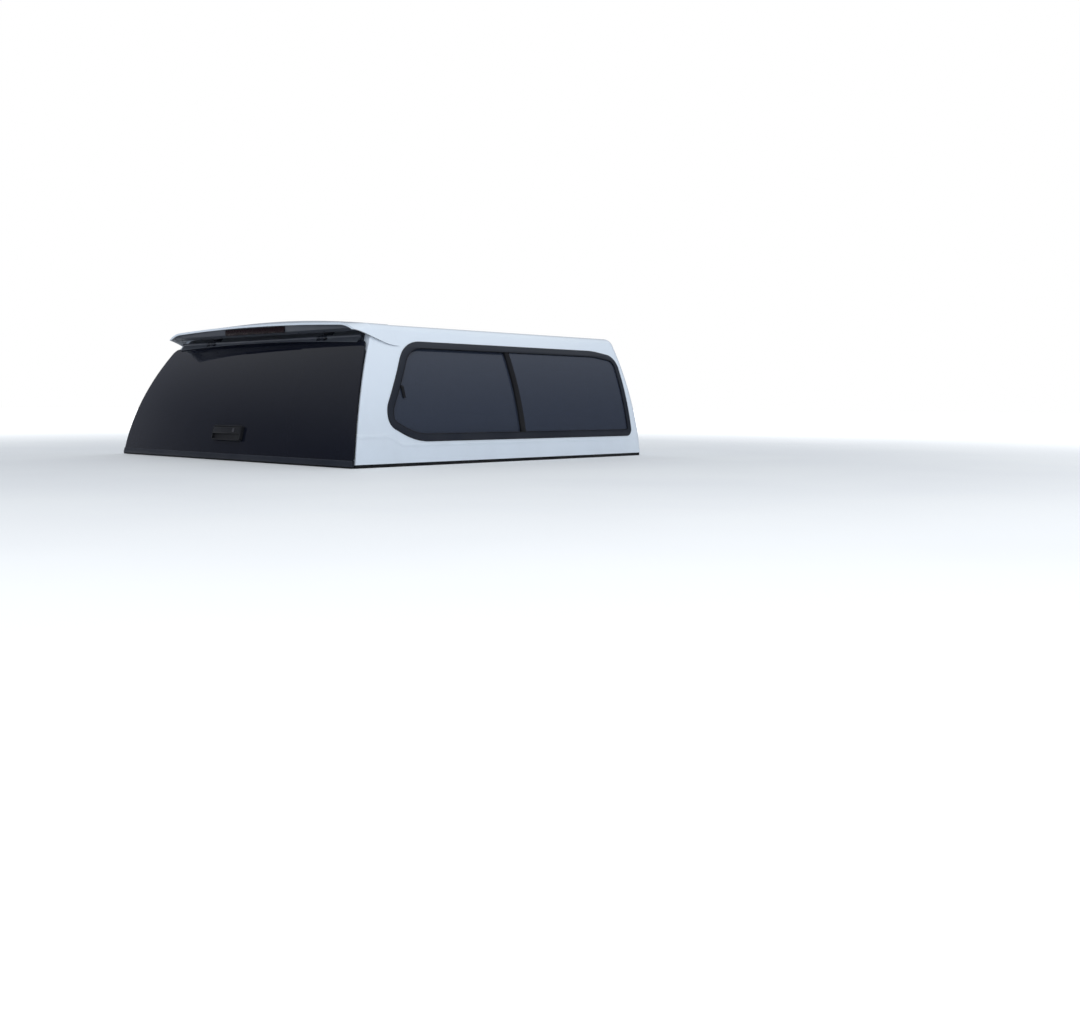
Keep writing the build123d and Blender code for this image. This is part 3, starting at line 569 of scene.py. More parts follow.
class Finish(Enum):
    """Every finish on the canopy, by the record's slot."""

    WHITE = ShellFinish("white_shell", (0.815, 0.885, 0.97), (0.78, 0.855, 0.95), (0.45, 0.47, 0.5))
    SIDE_GLASS = GlassFinish(
        "dark_glass", (0.05, 0.064, 0.1), transmission=0.4, film=0.05, specular=0.4)
    REAR_GLASS = GlassFinish(
        "rear_glass", (0.0095, 0.0115, 0.0215), transmission=0.3, film=0.025, specular=0.1)
    GLOSS = MouldedFinish(
        "gloss_dark", (0.06, 0.068, 0.086), (0.052, 0.06, 0.077), 0.42, 0.12,
        film=0.1, film_top=0.9, grain=500.0, specular=0.28)
    PLASTIC = MouldedFinish(
        "black_plastic", (0.007, 0.008, 0.011), (0.011, 0.012, 0.016), 0.46, 0.15,
        film=0.06, grain=1400.0, grain_depth=0.00006, wear=0.25, worn=(0.06, 0.06, 0.07), specular=0.2)
    HANDLE = MouldedFinish(
        "handle_plastic", (0.011, 0.012, 0.016), (0.007, 0.008, 0.012), 0.4, 0.15,
        film=0.06, grain=1800.0, grain_depth=0.00004, wear=0.25, worn=(0.05, 0.05, 0.06), specular=0.22)
    RUBBER = MouldedFinish(
        "black_rubber", (0.005, 0.0055, 0.008), (0.009, 0.0095, 0.012), 0.6, 0.2,
        film=0.1, grain=2200.0, grain_depth=0.00005, specular=0.14)
    COATED = MouldedFinish(
        "black_aluminium", (0.009, 0.0125, 0.022), (0.012, 0.016, 0.027), 0.34, 0.12,
        film=0.05, grain=3000.0, grain_depth=0.00001, wear=0.3, worn=(0.12, 0.13, 0.16), specular=0.3)
    MILL = MouldedFinish(
        "mill_aluminium", (0.55, 0.56, 0.57), (0.47, 0.48, 0.5), 0.38, 0.2,
        metallic=1.0, film=0.25, grain=700.0, wear=0.2, worn=(0.75, 0.75, 0.75))
    ZINC = MouldedFinish(
        "zinc_steel", (0.5, 0.5, 0.5), (0.42, 0.41, 0.38), 0.34, 0.2,
        metallic=1.0, film=0.3, grain=1500.0, wear=0.2, worn=(0.7, 0.7, 0.7))
    BRIGHT = MouldedFinish(
        "bright_metal", (0.2, 0.2, 0.22), (0.14, 0.14, 0.16), 0.24, 0.15,
        metallic=1.0, film=0.2, grain=2000.0)
    LENS = LensFinish("brake_lens", (0.01, 0.002, 0.0045))

    def material(self) -> bpy.types.Material:
        """The finish's material, built the first time it is asked for."""
        if self.name not in Kit.materials:
            Kit.materials[self.name] = self.value.build()
        return Kit.materials[self.name]


SLOTS = {finish.value.name: finish for finish in Finish}


def pick(*objects: Piece) -> None:
    """Selects only these objects and makes the first one active.

    Args:
        *objects: The objects.
    """
    bpy.ops.object.select_all(action="DESELECT")
    for obj in objects:
        obj.select_set(True)
    bpy.context.view_layer.objects.active = objects[0]


@contextmanager
def edit_mode(obj: Piece) -> Iterator[None]:
    """Edit mode on one object, with everything selected at the start.

    Args:
        obj: The object.

    Yields:
        Nothing; the object's mesh can be edited meanwhile.
    """
    pick(obj)
    bpy.ops.object.mode_set(mode="EDIT")
    bpy.ops.mesh.select_all(action="SELECT")
    yield
    bpy.ops.object.mode_set(mode="OBJECT")


def select_faces(obj: Piece, wanted: Callable[[bmesh.types.BMFace], bool]) -> None:
    """Selects some faces of the object that is in edit mode.

    Args:
        obj: The object.
        wanted: Says whether a face is selected.
    """
    bpy.ops.mesh.select_all(action="DESELECT")
    mesh = bmesh.from_edit_mesh(obj.data)
    for face in mesh.faces:
        face.select_set(wanted(face))
    bmesh.update_edit_mesh(obj.data)


def dress(obj: Piece, finish: Finish) -> None:
    """Gives an object one finish."""
    obj.data.materials.clear()
    obj.data.materials.append(finish.material())


def place(obj: Piece, name: str, body: Body, finish: Finish, *stands_for: str) -> None:
    """Names, dresses and mounts a finished piece.

    Args:
        obj: The piece.
        name: Its name.
        body: The body that carries it.
        finish: Its finish.
        *stands_for: CAD nodes that it replaces.
    """
    obj.name = name
    dress(obj, finish)
    if stands_for:
        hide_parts(*stands_for)
    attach(obj, body.value)
    log.info("%s: %d faces, rides on %s", name, len(obj.data.polygons), body.value)


def dress_cad_nodes() -> None:
    """Gives every node the finish of its material slot in the record."""
    for part in FRAME["record"]["subparts"]:
        dress(FRAME["nodes"][part["node"]], SLOTS[part["material_slot"]])
        log.info("%s in %s", part["node"], part["material_slot"])


def copy_node(node: str) -> Piece:
    """A welded copy of a CAD node with its flat faces made whole.

    Args:
        node: The node's name.

    Returns:
        The copy, selected and active.
    """
    mesh = FRAME["nodes"][node].data.copy()
    obj = bpy.data.objects.new(node + "_copy", mesh)
    bpy.context.collection.objects.link(obj)
    with edit_mode(obj):
        bpy.ops.mesh.remove_doubles(threshold=WELD)
        bpy.ops.mesh.customdata_custom_splitnormals_clear()
        bpy.ops.mesh.dissolve_limited(angle_limit=FLAT_BEND)
    return obj


def round_edges(obj: Piece, width: float, segments: int = 2) -> None:
    """Rounds a piece's sharp edges and shades it smooth.

    Args:
        obj: The piece.
        width: Width of the rounding, in metres.
        segments: Faces across the rounding.
    """
    pick(obj)
    bevel = obj.modifiers.new("round_edges", "BEVEL")
    bevel.width = width
    bevel.segments = segments
    bevel.limit_method = "ANGLE"
    bevel.angle_limit = ROUNDED_BEND
    bpy.ops.object.modifier_apply(modifier=bevel.name)
    bpy.ops.object.shade_smooth_by_angle(angle=SMOOTH_BEND)


def rounded_node(node: str, width: float, segments: int = 2) -> Piece:
    """Replaces a CAD node by its own copy with softened edges.

    Args:
        node: The node's name.
        width: Width of the rounding, in metres.
        segments: Faces across the rounding.

    Returns:
        The new piece.
    """
    record = FRAME["record"]
    slot = next(part["material_slot"] for part in record["subparts"] if part["node"] == node)
    body = next(body for body in Body if node in record["behaviour"]["bodies"][body.value])
    obj = copy_node(node)
    round_edges(obj, width, segments)
    place(obj, node + "_rounded", body, SLOTS[slot], node)
    return obj


def keep_edges(obj: Piece, wanted: Callable[[bmesh.types.BMEdge], bool]) -> None:
    """Deletes everything in a mesh apart from the wanted edges.

    Args:
        obj: The mesh object.
        wanted: Says whether an edge stays.
    """
    with edit_mode(obj):
        bpy.ops.mesh.select_mode(type="EDGE")
        bpy.ops.mesh.select_all(action="DESELECT")
        mesh = bmesh.from_edit_mesh(obj.data)
        for edge in mesh.edges:
            edge.select_set(not wanted(edge))
        bmesh.update_edit_mesh(obj.data)
        bpy.ops.mesh.delete(type="EDGE")
        bpy.ops.mesh.select_all(action="SELECT")
        bpy.ops.mesh.delete(type="ONLY_FACE")


def is_rim(edge: bmesh.types.BMEdge, facing: Vector, centre: Vector, hole: bool) -> bool:
    """Whether an edge runs round a face's outside or round its hole.

    Args:
        edge: The edge.
        facing: Direction that the face looks in.
        centre: Middle of the piece.
        hole: True for the hole's rim.

    Returns:
        Whether it does.
    """
    if len(edge.link_faces) != 2:
        return False
    middle = (edge.verts[0].co + edge.verts[1].co) / 2
    for face, wall in (edge.link_faces, reversed(edge.link_faces)):
        if face.normal.dot(facing) > 0.7 > 0.5 > wall.normal.dot(facing):
            return (wall.normal.dot(centre - middle) > 0) == hole
    return False


def middle_of(node: str) -> Vector:
    """The middle of a node's box."""
    low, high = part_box(node)
    return (Vector(low) + Vector(high)) / 2


def joint_place(name: str) -> Point:
    """A point on a joint's axis, from the record."""
    return next(tuple(joint["pos_m"]) for joint in FRAME["joints"] if joint["name"] == name)


@dataclass
class Bead:
    """A round rubber or sealant bead along a rim of a CAD piece.

    Attributes:
        node: The piece.
        facing: Direction that the rim's face looks in.
        hole: Whether it runs round the hole instead of the outside.
        radius: The bead's radius, in metres.
        shift: How far it is moved from the rim, in metres.
        stretch: Scale about the piece's middle.
        depth: How far under the piece's outermost corner the rim may lie, in metres.
    """

    node: str
    facing: Point
    hole: bool
    radius: float
    shift: Point = (0.0, 0.0, 0.0)
    stretch: Point = (1.0, 1.0, 1.0)
    depth: float = 1.0

    def build(self, name: str, finish: Finish) -> None:
        """Builds the bead on the canopy.

        Args:
            name: The piece's name.
            finish: Its finish.
        """
        facing = Vector(self.facing).normalized()
        centre = middle_of(self.node)
        corners = FRAME["nodes"][self.node].bound_box
        least = max(Vector(corner).dot(facing) for corner in corners) - self.depth
        obj = copy_node(self.node)
        keep_edges(obj, lambda edge: (
            edge.verts[0].co.dot(facing) > least and is_rim(edge, facing, centre, self.hole)))
        with edit_mode(obj):
            bpy.ops.transform.resize(value=self.stretch, center_override=centre)
            bpy.ops.transform.translate(value=self.shift)
        place(self.thicken(obj), name, Body.CANOPY, finish)

    def thicken(self, obj: Piece) -> Piece:
        """Turns loose edges into a round bead.

        Args:
            obj: The loose edges.

        Returns:
            The bead, as a new mesh.
        """
        pick(obj)
        bpy.ops.object.convert(target="CURVE")
        obj = bpy.context.object
        obj.data.bevel_depth = self.radius
        obj.data.bevel_resolution = 2
        obj.data.use_fill_caps = True
        bpy.ops.object.convert(target="MESH")
        obj = bpy.context.object
        with edit_mode(obj):
            bpy.ops.mesh.remove_doubles(threshold=WELD)
            bpy.ops.mesh.normals_make_consistent(inside=False)
        bpy.ops.object.shade_smooth_by_angle(angle=math.radians(50))
        return obj


class Drive(Enum):
    """What a fastener's head is turned by."""

    CROSS = "cross recess"
    HEXAGON = "hexagon head"
    NONE = "plain dome"


@dataclass
class Fastener:
    """A screw, bolt or pin head, built once and stamped where it is needed.

    Attributes:
        radius: The head's radius, in metres.
        height: The head's height, in metres.
        drive: What it is turned by.
        washer: The washer's radius, or 0 for none.
        foot_share: The washer's thickness, as a share of the height.
        soft_share: Width of the softened top edge, as a share of the height.
        sunk_share: How deep a head sits in its seat, as a share of the height.
        bar: Width and length of the recess's bars, as shares of the radius.
        turn: Turn from one head to the next.
    """

    radius: float
    height: float
    drive: Drive = Drive.CROSS
    washer: float = 0.0
    foot_share: float = 0.3
    soft_share: float = 0.35
    sunk_share: float = 0.1
    bar: tuple[float, float] = (0.26, 1.15)
    turn: float = math.radians(37)

    def build(self) -> Piece:
        """Builds one head that stands on the origin and points up.

        Returns:
            The head.
        """
        corners = 6 if self.drive is Drive.HEXAGON else 20
        foot = self.foot_share * self.height if self.washer else 0.0
        head = self.disc(self.radius, self.height, foot, corners, self.soft_share * self.height)
        if self.drive is Drive.CROSS:
            for width, length in (self.bar, reversed(self.bar)):
                self.cut_bar(head, width * self.radius, length * self.radius, foot)
        if self.washer:
            washer = self.disc(self.washer, foot, 0.0, 24, 0.25 * foot)
            pick(head, washer)
            bpy.ops.object.join()
        bpy.ops.object.shade_smooth_by_angle(angle=math.radians(35))
        return head

    def disc(self, radius: float, height: float, foot: float, corners: int, edge: float) -> Piece:
        """A round or six-sided disc with a softened top edge.

        Args:
            radius: Its radius.
            height: Its height.
            foot: Height of its underside.
            corners: Number of corners.
            edge: Width of the softened edge.

        Returns:
            The disc.
        """
        bpy.ops.object.select_all(action="DESELECT")
        bpy.ops.mesh.primitive_cylinder_add(
            vertices=corners, radius=radius, depth=height, location=(0, 0, foot + height / 2))
        obj = bpy.context.object
        bpy.ops.object.transform_apply(location=True, rotation=True, scale=True)
        with edit_mode(obj):
            select_faces(obj, lambda face: face.normal.z > 0.9)
            bpy.ops.mesh.bevel(offset=edge, segments=3, affect="EDGES")
        return obj

    def cut_bar(self, head: Piece, width: float, length: float, foot: float) -> None:
        """Cuts one bar of the cross recess, which tapers downwards.

        Args:
            head: The head.
            width: Across the bar.
            length: Along the bar.
            foot: Height of the head's underside.
        """
        bpy.ops.object.select_all(action="DESELECT")
        bpy.ops.mesh.primitive_cube_add(size=1.0, location=(0, 0, foot + 0.85 * self.height))
        bar = bpy.context.object
        bpy.ops.transform.resize(value=(width, length, 0.8 * self.height))
        bpy.ops.object.transform_apply(location=True, rotation=True, scale=True)
        with edit_mode(bar):
            select_faces(bar, lambda face: face.normal.z < -0.9)
            bpy.ops.transform.resize(value=(0.6, 0.6, 1.0))
        pick(head)
        difference = head.modifiers.new("recess", "BOOLEAN")
        difference.operation = "DIFFERENCE"
        difference.object = bar
        bpy.ops.object.modifier_apply(modifier=difference.name)
        pick(bar)
        bpy.ops.object.delete()
        pick(head)

    def fit(self, seats: list["Seat"], name: str, body: Body, finish: Finish) -> None:
        """Fits the fastener at several seats, as one piece.

        Args:
            seats: Where the heads stand.
            name: The piece's name.
            body: The body that carries them.
            finish: Their finish.
        """
        pattern = self.build()
        heads = []
        for number, seat in enumerate(seats):
            head = bpy.data.objects.new(f"{name}_{number}", pattern.data.copy())
            bpy.context.collection.objects.link(head)
            turn = Matrix.Rotation(self.turn * number, 4, "Z")
            tilt = seat.normal.to_track_quat("Z", "Y").to_matrix().to_4x4()
            sunk = seat.point - self.sunk_share * self.height * seat.normal
            head.data.transform(Matrix.Translation(sunk) @ tilt @ turn)
            heads.append(head)
        pick(pattern)
        bpy.ops.object.delete()
        pick(*heads)
        if len(heads) > 1:
            bpy.ops.object.join()
        place(bpy.context.object, name, body, finish)


@dataclass
class Seat:
    """A point on a surface and the direction that it faces.

    Attributes:
        point: The point.
        normal: The direction.
    """

    point: Vector
    normal: Vector

    @classmethod
    def find(cls, node: str, start: Point, aim: Point) -> "Seat":
        """Looks from a point along a direction until it meets a node.

        Args:
            node: The node's name.
            start: Where to look from.
            aim: Direction to look in.

        Returns:
            The seat.
        """
        mesh = FRAME["nodes"][node].data
        corners = [vertex.co for vertex in mesh.vertices]
        tree = BVHTree.FromPolygons(corners, [tuple(face.vertices) for face in mesh.polygons])
        point, normal, _, _ = tree.ray_cast(Vector(start), Vector(aim))
        if point is None:
            raise ValueError(f"nothing of {node} lies ahead of {start}")
        return cls(point, normal)


@dataclass
class SideWindow:
    """One side window: frame, panes, divider, pull and the trim ring inside.

    Attributes:
        side: Side of the vehicle.
        facing: Mean direction of the window's outside on the right.
        lip_radius: Radius of the rubber lip on the glass.
        lip_sink: How far it lies under the frame's face.
        seam_radius: Radius of the rubber under the frame's rim.
        seam_sink: How far it lies under the frame's face.
        ring_step: Distance from the frame's outside to the ring's inside.
        ring_thickness: Thickness of the trim ring.
        screw_pitch: Distance between the ring's screws.
        screw_inset: Distance of the screws from the ring's rim.
        rib_count: Number of ribs on the pull.
        rib_radius: Their radius.
        rib_length: Their length.
    """

    side: Side
    facing: Point = (0.934, 0.0, 0.356)
    lip_radius: float = 1.7 * MM
    lip_sink: float = 0.6 * MM
    seam_radius: float = 1.5 * MM
    seam_sink: float = 3.2 * MM
    ring_step: float = 12.2 * MM
    ring_thickness: float = 2.5 * MM
    screw_pitch: float = 160 * MM
    screw_inset: float = 9 * MM
    rib_count: int = 6
    rib_radius: float = 0.9 * MM
    rib_length: float = 8 * MM

    def out(self) -> Vector:
        """The window's outward direction on this side."""
        across, along, up = self.facing
        return Vector((self.side.value * across, along, up)).normalized()

    def build(self) -> None:
        """Builds every piece of the window."""
        prefix = self.side.prefix
        frame = prefix + "window_frame"
        out = self.out()
        lip = Bead(frame, tuple(out), True, self.lip_radius, tuple(-self.lip_sink * out))
        lip.build(prefix + "window_lip", Finish.RUBBER)
        seam = Bead(frame, tuple(out), False, self.seam_radius, tuple(-self.seam_sink * out))
        seam.build(prefix + "window_seam", Finish.RUBBER)
        self.build_trim_ring(frame, out)
        rounded_node(frame, 1.2 * MM, 3)
        dress(rounded_node(prefix + "window_divider", 0.7 * MM), Finish.RUBBER)
        rounded_node(prefix + "window_pull", 1.1 * MM, 3)
        self.build_pull_ribs()

    def build_trim_ring(self, frame: str, out: Vector) -> None:
        """The ring on the shell's inside that clamps the frame, and its screws.

        Args:
            frame: Name of the frame's node.
            out: The window's outward direction.
        """
        ring = copy_node(frame)
        with edit_mode(ring):
            select_faces(ring, lambda face: face.normal.dot(out) < 0.9)
            bpy.ops.mesh.delete(type="FACE")
            bpy.ops.mesh.select_all(action="SELECT")
            bpy.ops.transform.translate(value=-self.ring_step * out)
            bpy.ops.mesh.flip_normals()
        rim = self.outer_rim(ring)
        wall = ring.modifiers.new("wall", "SOLIDIFY")
        wall.thickness = self.ring_thickness
        wall.offset = 1.0
        bpy.ops.object.modifier_apply(modifier=wall.name)
        round_edges(ring, 0.8 * MM)
        prefix = self.side.prefix + "window_"
        place(ring, prefix + "trim_ring", Body.CANOPY, Finish.PLASTIC)
        seats = self.ring_seats(rim, out)
        Fastener(4 * MM, 2 * MM).fit(seats, prefix + "ring_screws", Body.CANOPY, Finish.ZINC)

    @staticmethod
    def outer_rim(ring: Piece) -> list[Vector]:
        """Follows the ring's outer boundary.

        Args:
            ring: The ring, while it is a sheet.

        Returns:
            The boundary's points, in order.
        """
        mesh = bmesh.new()
        mesh.from_mesh(ring.data)
        border = [edge for edge in mesh.edges if len(edge.link_faces) == 1]
        loops: list[list[Vector]] = []
        while border:
            edge = border.pop()
            first, last = edge.verts
            points = [first.co.copy(), last.co.copy()]
            while True:
                onward = next((item for item in border if last in item.verts), None)
                if onward is None:
                    break
                border.remove(onward)
                last = onward.other_vert(last)
                points.append(last.co.copy())
            loops.append(points)
        mesh.free()
        return max(loops, key=lambda points: sum((b - a).length for a, b in zip(points, points[1:])))

    def ring_seats(self, rim: list[Vector], out: Vector) -> list[Seat]:
        """Evenly spaced seats on the ring, set in from its rim.

        Args:
            rim: The ring's outer boundary.
            out: The window's outward direction.

        Returns:
            The seats, which face into the cargo space.
        """
        centre = sum(rim, Vector()) / len(rim)
        seats = []
        left = self.screw_pitch / 2
        for start, end in zip(rim, rim[1:]):
            span = (end - start).length
            while left < span:
                point = start.lerp(end, left / span)
                along = (end - start).normalized()
                inward = along.cross(out)
                if inward.dot(centre - point) < 0:
                    inward = -inward
                seats.append(Seat(point + self.screw_inset * inward - self.ring_thickness * out, -out))
                left += self.screw_pitch
            left -= span
        return seats

    def build_pull_ribs(self) -> None:
        """Grip ribs on the sliding pane's pull."""
        node = self.side.prefix + "window_pull"
        low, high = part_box(node)
        across = self.side.value
        ribs = []
        for number in range(self.rib_count):
            z = low[2] + (high[2] - low[2]) * (number + 1.5) / (self.rib_count + 2)
            seat = Seat.find(node, (1.2 * across, (low[1] + high[1]) / 2, z), (-across, 0, 0))
            bpy.ops.object.select_all(action="DESELECT")
            bpy.ops.mesh.primitive_cylinder_add(vertices=12, radius=self.rib_radius, depth=self.rib_length)
            rib = bpy.context.object
            bpy.ops.object.transform_apply(location=True, rotation=True, scale=True)
            with edit_mode(rib):
                bpy.ops.mesh.bevel(offset=0.4 * MM, segments=2, affect="EDGES")
            lying = Matrix.Rotation(math.radians(90), 4, "X")
            rib.data.transform(Matrix.Translation(seat.point) @ lying)
            ribs.append(rib)
        pick(*ribs)
        bpy.ops.object.join()
        bpy.ops.object.shade_smooth_by_angle(angle=math.radians(40))
        place(bpy.context.object, node + "_ribs", Body.CANOPY, Finish.PLASTIC)


@dataclass
class RearDoor:
    """The glass door with its rails, seals, hinges and latch gear.

    Attributes:
        polish: Width of the glass's ground edge.
        hinge_screw_x: Distance of the hinge screws from the bracket's middle.
        hinge_screw_drops: Distances of the hinge screws from the plate's top.
        cover_screw_x: Distance of the latch cover's screws from its middle.
        cover_screw_z: Height of the latch cover's screws above its middle.
        latch_screw_z: Distance of a corner latch's screws from its ends.
        cap_length: Length of the bottom rail's end caps.
    """

    polish: float = 0.8 * MM
    hinge_screw_x: float = 24 * MM
    hinge_screw_drops: tuple[float, float] = (8 * MM, 22 * MM)
    cover_screw_x: float = 82 * MM
    cover_screw_z: float = 19 * MM
    latch_screw_z: float = 8 * MM
    cap_length: float = 16 * MM

    def build(self) -> None:
        """Builds every piece of the door."""
        rounded_node("rear_glass", self.polish)
        rounded_node("door_bottom_rail", 1.2 * MM, 3)
        rounded_node("door_bottom_seal", 1.4 * MM, 3)
        rounded_node("door_top_rail", 0.6 * MM)
        rounded_node("rear_door_seal", 3.6 * MM, 4)
        # The gutter is black plastic, but it gets the lighter grey gloss finish here: painted light, standing in
        # for the light that falls into the shaded gap under the spoiler.
        dress(rounded_node("door_gutter", 0.7 * MM), Finish.GLOSS)
        rounded_node("inner_latch_cover", 2.2 * MM, 3)
        self.build_rail_caps()
        self.build_cover_screws()
        for side in Side:
            self.build_hinge(side)
            self.build_latch(side)

    def build_rail_caps(self) -> None:
        """Plastic caps over the ends of the bottom rail."""
        low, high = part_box("door_bottom_rail")
        for side in Side:
            cap = copy_node("door_bottom_rail")
            start = side.value * (high[0] - self.cap_length)
            centre = (side.value * high[0], low[1], (low[2] + high[2]) / 2)
            with edit_mode(cap):
                bpy.ops.mesh.bisect(
                    plane_co=(start, 0, 0), plane_no=(side.value, 0, 0), use_fill=True, clear_inner=True)
                bpy.ops.mesh.select_all(action="SELECT")
                bpy.ops.transform.resize(value=(1.0, 1.08, 1.05), center_override=centre)
                bpy.ops.mesh.normals_make_consistent(inside=False)
            round_edges(cap, 1.0 * MM)
            place(cap, side.prefix + "rail_cap", Body.DOOR, Finish.PLASTIC)

    def build_cover_screws(self) -> None:
        """Screws in the corners of the inner latch cover."""
        middle = middle_of("inner_latch_cover")
        seats = []
        for x in (-self.cover_screw_x, self.cover_screw_x):
            for z in (-self.cover_screw_z, self.cover_screw_z):
                seats.append(Seat.find("inner_latch_cover", (x, -0.7, middle.z + z), (0, -1, 0)))
        Fastener(4 * MM, 2.4 * MM).fit(seats, "latch_cover_screws", Body.DOOR, Finish.ZINC)

    def build_hinge(self, side: Side) -> None:
        """A hinge's softened halves, its screws and its pin ends.

        Args:
            side: Side of the vehicle.
        """
        bracket = side.prefix + "hinge_bracket"
        low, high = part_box(bracket)
        middle = (low[0] + high[0]) / 2
        seats = []
        for x in (-self.hinge_screw_x, 0.0, self.hinge_screw_x):
            for drop in self.hinge_screw_drops:
                start = (middle + x, low[1] - STAND_OFF, high[2] - drop)
                seats.append(Seat.find(bracket, start, (0, 1, 0)))
        prefix = side.prefix + "hinge_"
        Fastener(3.6 * MM, 2 * MM).fit(seats, prefix + "screws", Body.CANOPY, Finish.COATED)
        _, axis_y, axis_z = joint_place("rear_door_hinge")
        ends = []
        for direction in (-1, 1):
            start = (middle + 2 * STAND_OFF * direction, axis_y, axis_z)
            ends.append(Seat.find(bracket, start, (-direction, 0, 0)))
        pin = Fastener(3.4 * MM, 1.4 * MM, Drive.NONE)
        pin.fit(ends, prefix + "pin_ends", Body.CANOPY, Finish.BRIGHT)
        rounded_node(bracket, 0.5 * MM)
        rounded_node(prefix + "leaf", 0.4 * MM)

    def build_latch(self, side: Side) -> None:
        """A corner latch and its striker with softened edges and screws.

        Args:
            side: Side of the vehicle.
        """
        latch = side.prefix + "corner_latch"
        low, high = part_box(latch)
        seats = []
        for z in (low[2] + self.latch_screw_z, high[2] - self.latch_screw_z):
            start = ((low[0] + high[0]) / 2, high[1] + STAND_OFF, z)
            seats.append(Seat.find(latch, start, (0, -1, 0)))
        Fastener(3.4 * MM, 2 * MM).fit(seats, latch + "_screws", Body.DOOR, Finish.ZINC)
        rounded_node(latch, 0.8 * MM)
        rounded_node(side.prefix + "striker", 0.7 * MM)
        rounded_node(side.prefix + "latch_rod", 0.8 * MM)


@dataclass
class Handle:
    """The lift handle in the door and its lock."""

    def build(self) -> None:
        """Builds every piece of the handle."""
        rounded_node("handle_base", 1.1 * MM, 3)
        rounded_node("handle_paddle", 0.8 * MM, 3)
        rounded_node("handle_lock", 0.5 * MM)


@dataclass
class Spoiler:
    """The roof spoiler's dark panel, its brake light and their small parts.

    Attributes:
        panel_screw_x: Places of the panel's screws, from the middle.
        panel_screw_in: Distance of the screws from the panel's front edge.
        bezel_radius: Radius of the rubber round the lens.
        bezel_back: How far it lies behind the lens's face.
    """

    panel_screw_x: tuple[float, ...] = (300 * MM, 480 * MM, 650 * MM)
    panel_screw_in: float = 12 * MM
    bezel_radius: float = 1.3 * MM
    bezel_back: float = 3.2 * MM

    def build(self) -> None:
        """Builds every piece of the spoiler."""
        rounded_node("spoiler_under_panel", 0.8 * MM)
        rounded_node("brake_light_lens", 1.2 * MM, 3)
        shift = (0.0, self.bezel_back, 0.0)
        bezel = Bead("brake_light_lens", (0.0, -1.0, 0.0), False, self.bezel_radius, shift)
        bezel.build("brake_light_bezel", Finish.RUBBER)
        _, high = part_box("spoiler_under_panel")
        seats = []
        for side in Side:
            for x in self.panel_screw_x:
                start = (side.value * x, high[1] - self.panel_screw_in, 0.4)
                seats.append(Seat.find("spoiler_under_panel", start, (0, 0, 1)))
        Fastener(4 * MM, 2 * MM).fit(seats, "under_panel_screws", Body.CANOPY, Finish.COATED)


@dataclass
class FrontWindow:
    """The fixed window towards the cab, in its rubber moulding.

    Attributes:
        strip_radius: Radius of the locking strip in the moulding's groove.
        groove_in: Distance of the groove from the moulding's outer rim.
        strip_sink: How deep the strip's middle lies under the moulding's face.
    """

    strip_radius: float = 1.8 * MM
    groove_in: float = 9 * MM
    strip_sink: float = 1.9 * MM

    def build(self) -> None:
        """Builds the moulding and its locking strips."""
        low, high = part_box("front_window_gasket")
        across = high[0] - low[0]
        up = high[2] - low[2]
        stretch = (1 - 2 * self.groove_in / across, 1.0, 1 - 2 * self.groove_in / up)
        for name, direction in (("outer", 1.0), ("inner", -1.0)):
            strip = Bead(
                "front_window_gasket", (0.0, direction, 0.0), False, self.strip_radius,
                (0.0, -direction * self.strip_sink, 0.0), stretch, depth=1 * MM)
            strip.build(f"front_window_{name}_strip", Finish.PLASTIC)
        rounded_node("front_window_gasket", 1.3 * MM, 3)


@dataclass
class Base:
    """Inner rails, their bolts and the seal that the canopy rests on.

    Attributes:
        bolt_y: Places of the side rails' bolts along the body.
        bolt_x: Places of the front rail's bolts across it.
    """

    bolt_y: tuple[float, ...] = (-0.79, -0.56, -0.34, -0.12, 0.12, 0.34, 0.56, 0.79)
    bolt_x: tuple[float, ...] = (-0.64, -0.32, 0.0, 0.32, 0.64)

    def build(self) -> None:
        """Builds the rails' softened copies and their bolts."""
        bolt = Fastener(6 * MM, 4 * MM, Drive.HEXAGON, washer=8.5 * MM)
        for side in Side:
            node = side.prefix + "mounting_rail"
            low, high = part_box(node)
            middle = (low[0] + high[0]) / 2
            above = high[2] + STAND_OFF
            seats = [Seat.find(node, (middle, y, above), (0, 0, -1)) for y in self.bolt_y]
            bolt.fit(seats, side.prefix + "rail_bolts", Body.CANOPY, Finish.ZINC)
            rounded_node(node, 0.8 * MM)
        node = "front_mounting_rail"
        low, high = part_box(node)
        middle = (low[1] + high[1]) / 2
        above = high[2] + STAND_OFF
        seats = [Seat.find(node, (x, middle, above), (0, 0, -1)) for x in self.bolt_x]
        bolt.fit(seats, "front_rail_bolts", Body.CANOPY, Finish.ZINC)
        rounded_node(node, 0.8 * MM)
        rounded_node("base_seal", 2.5 * MM, 3)


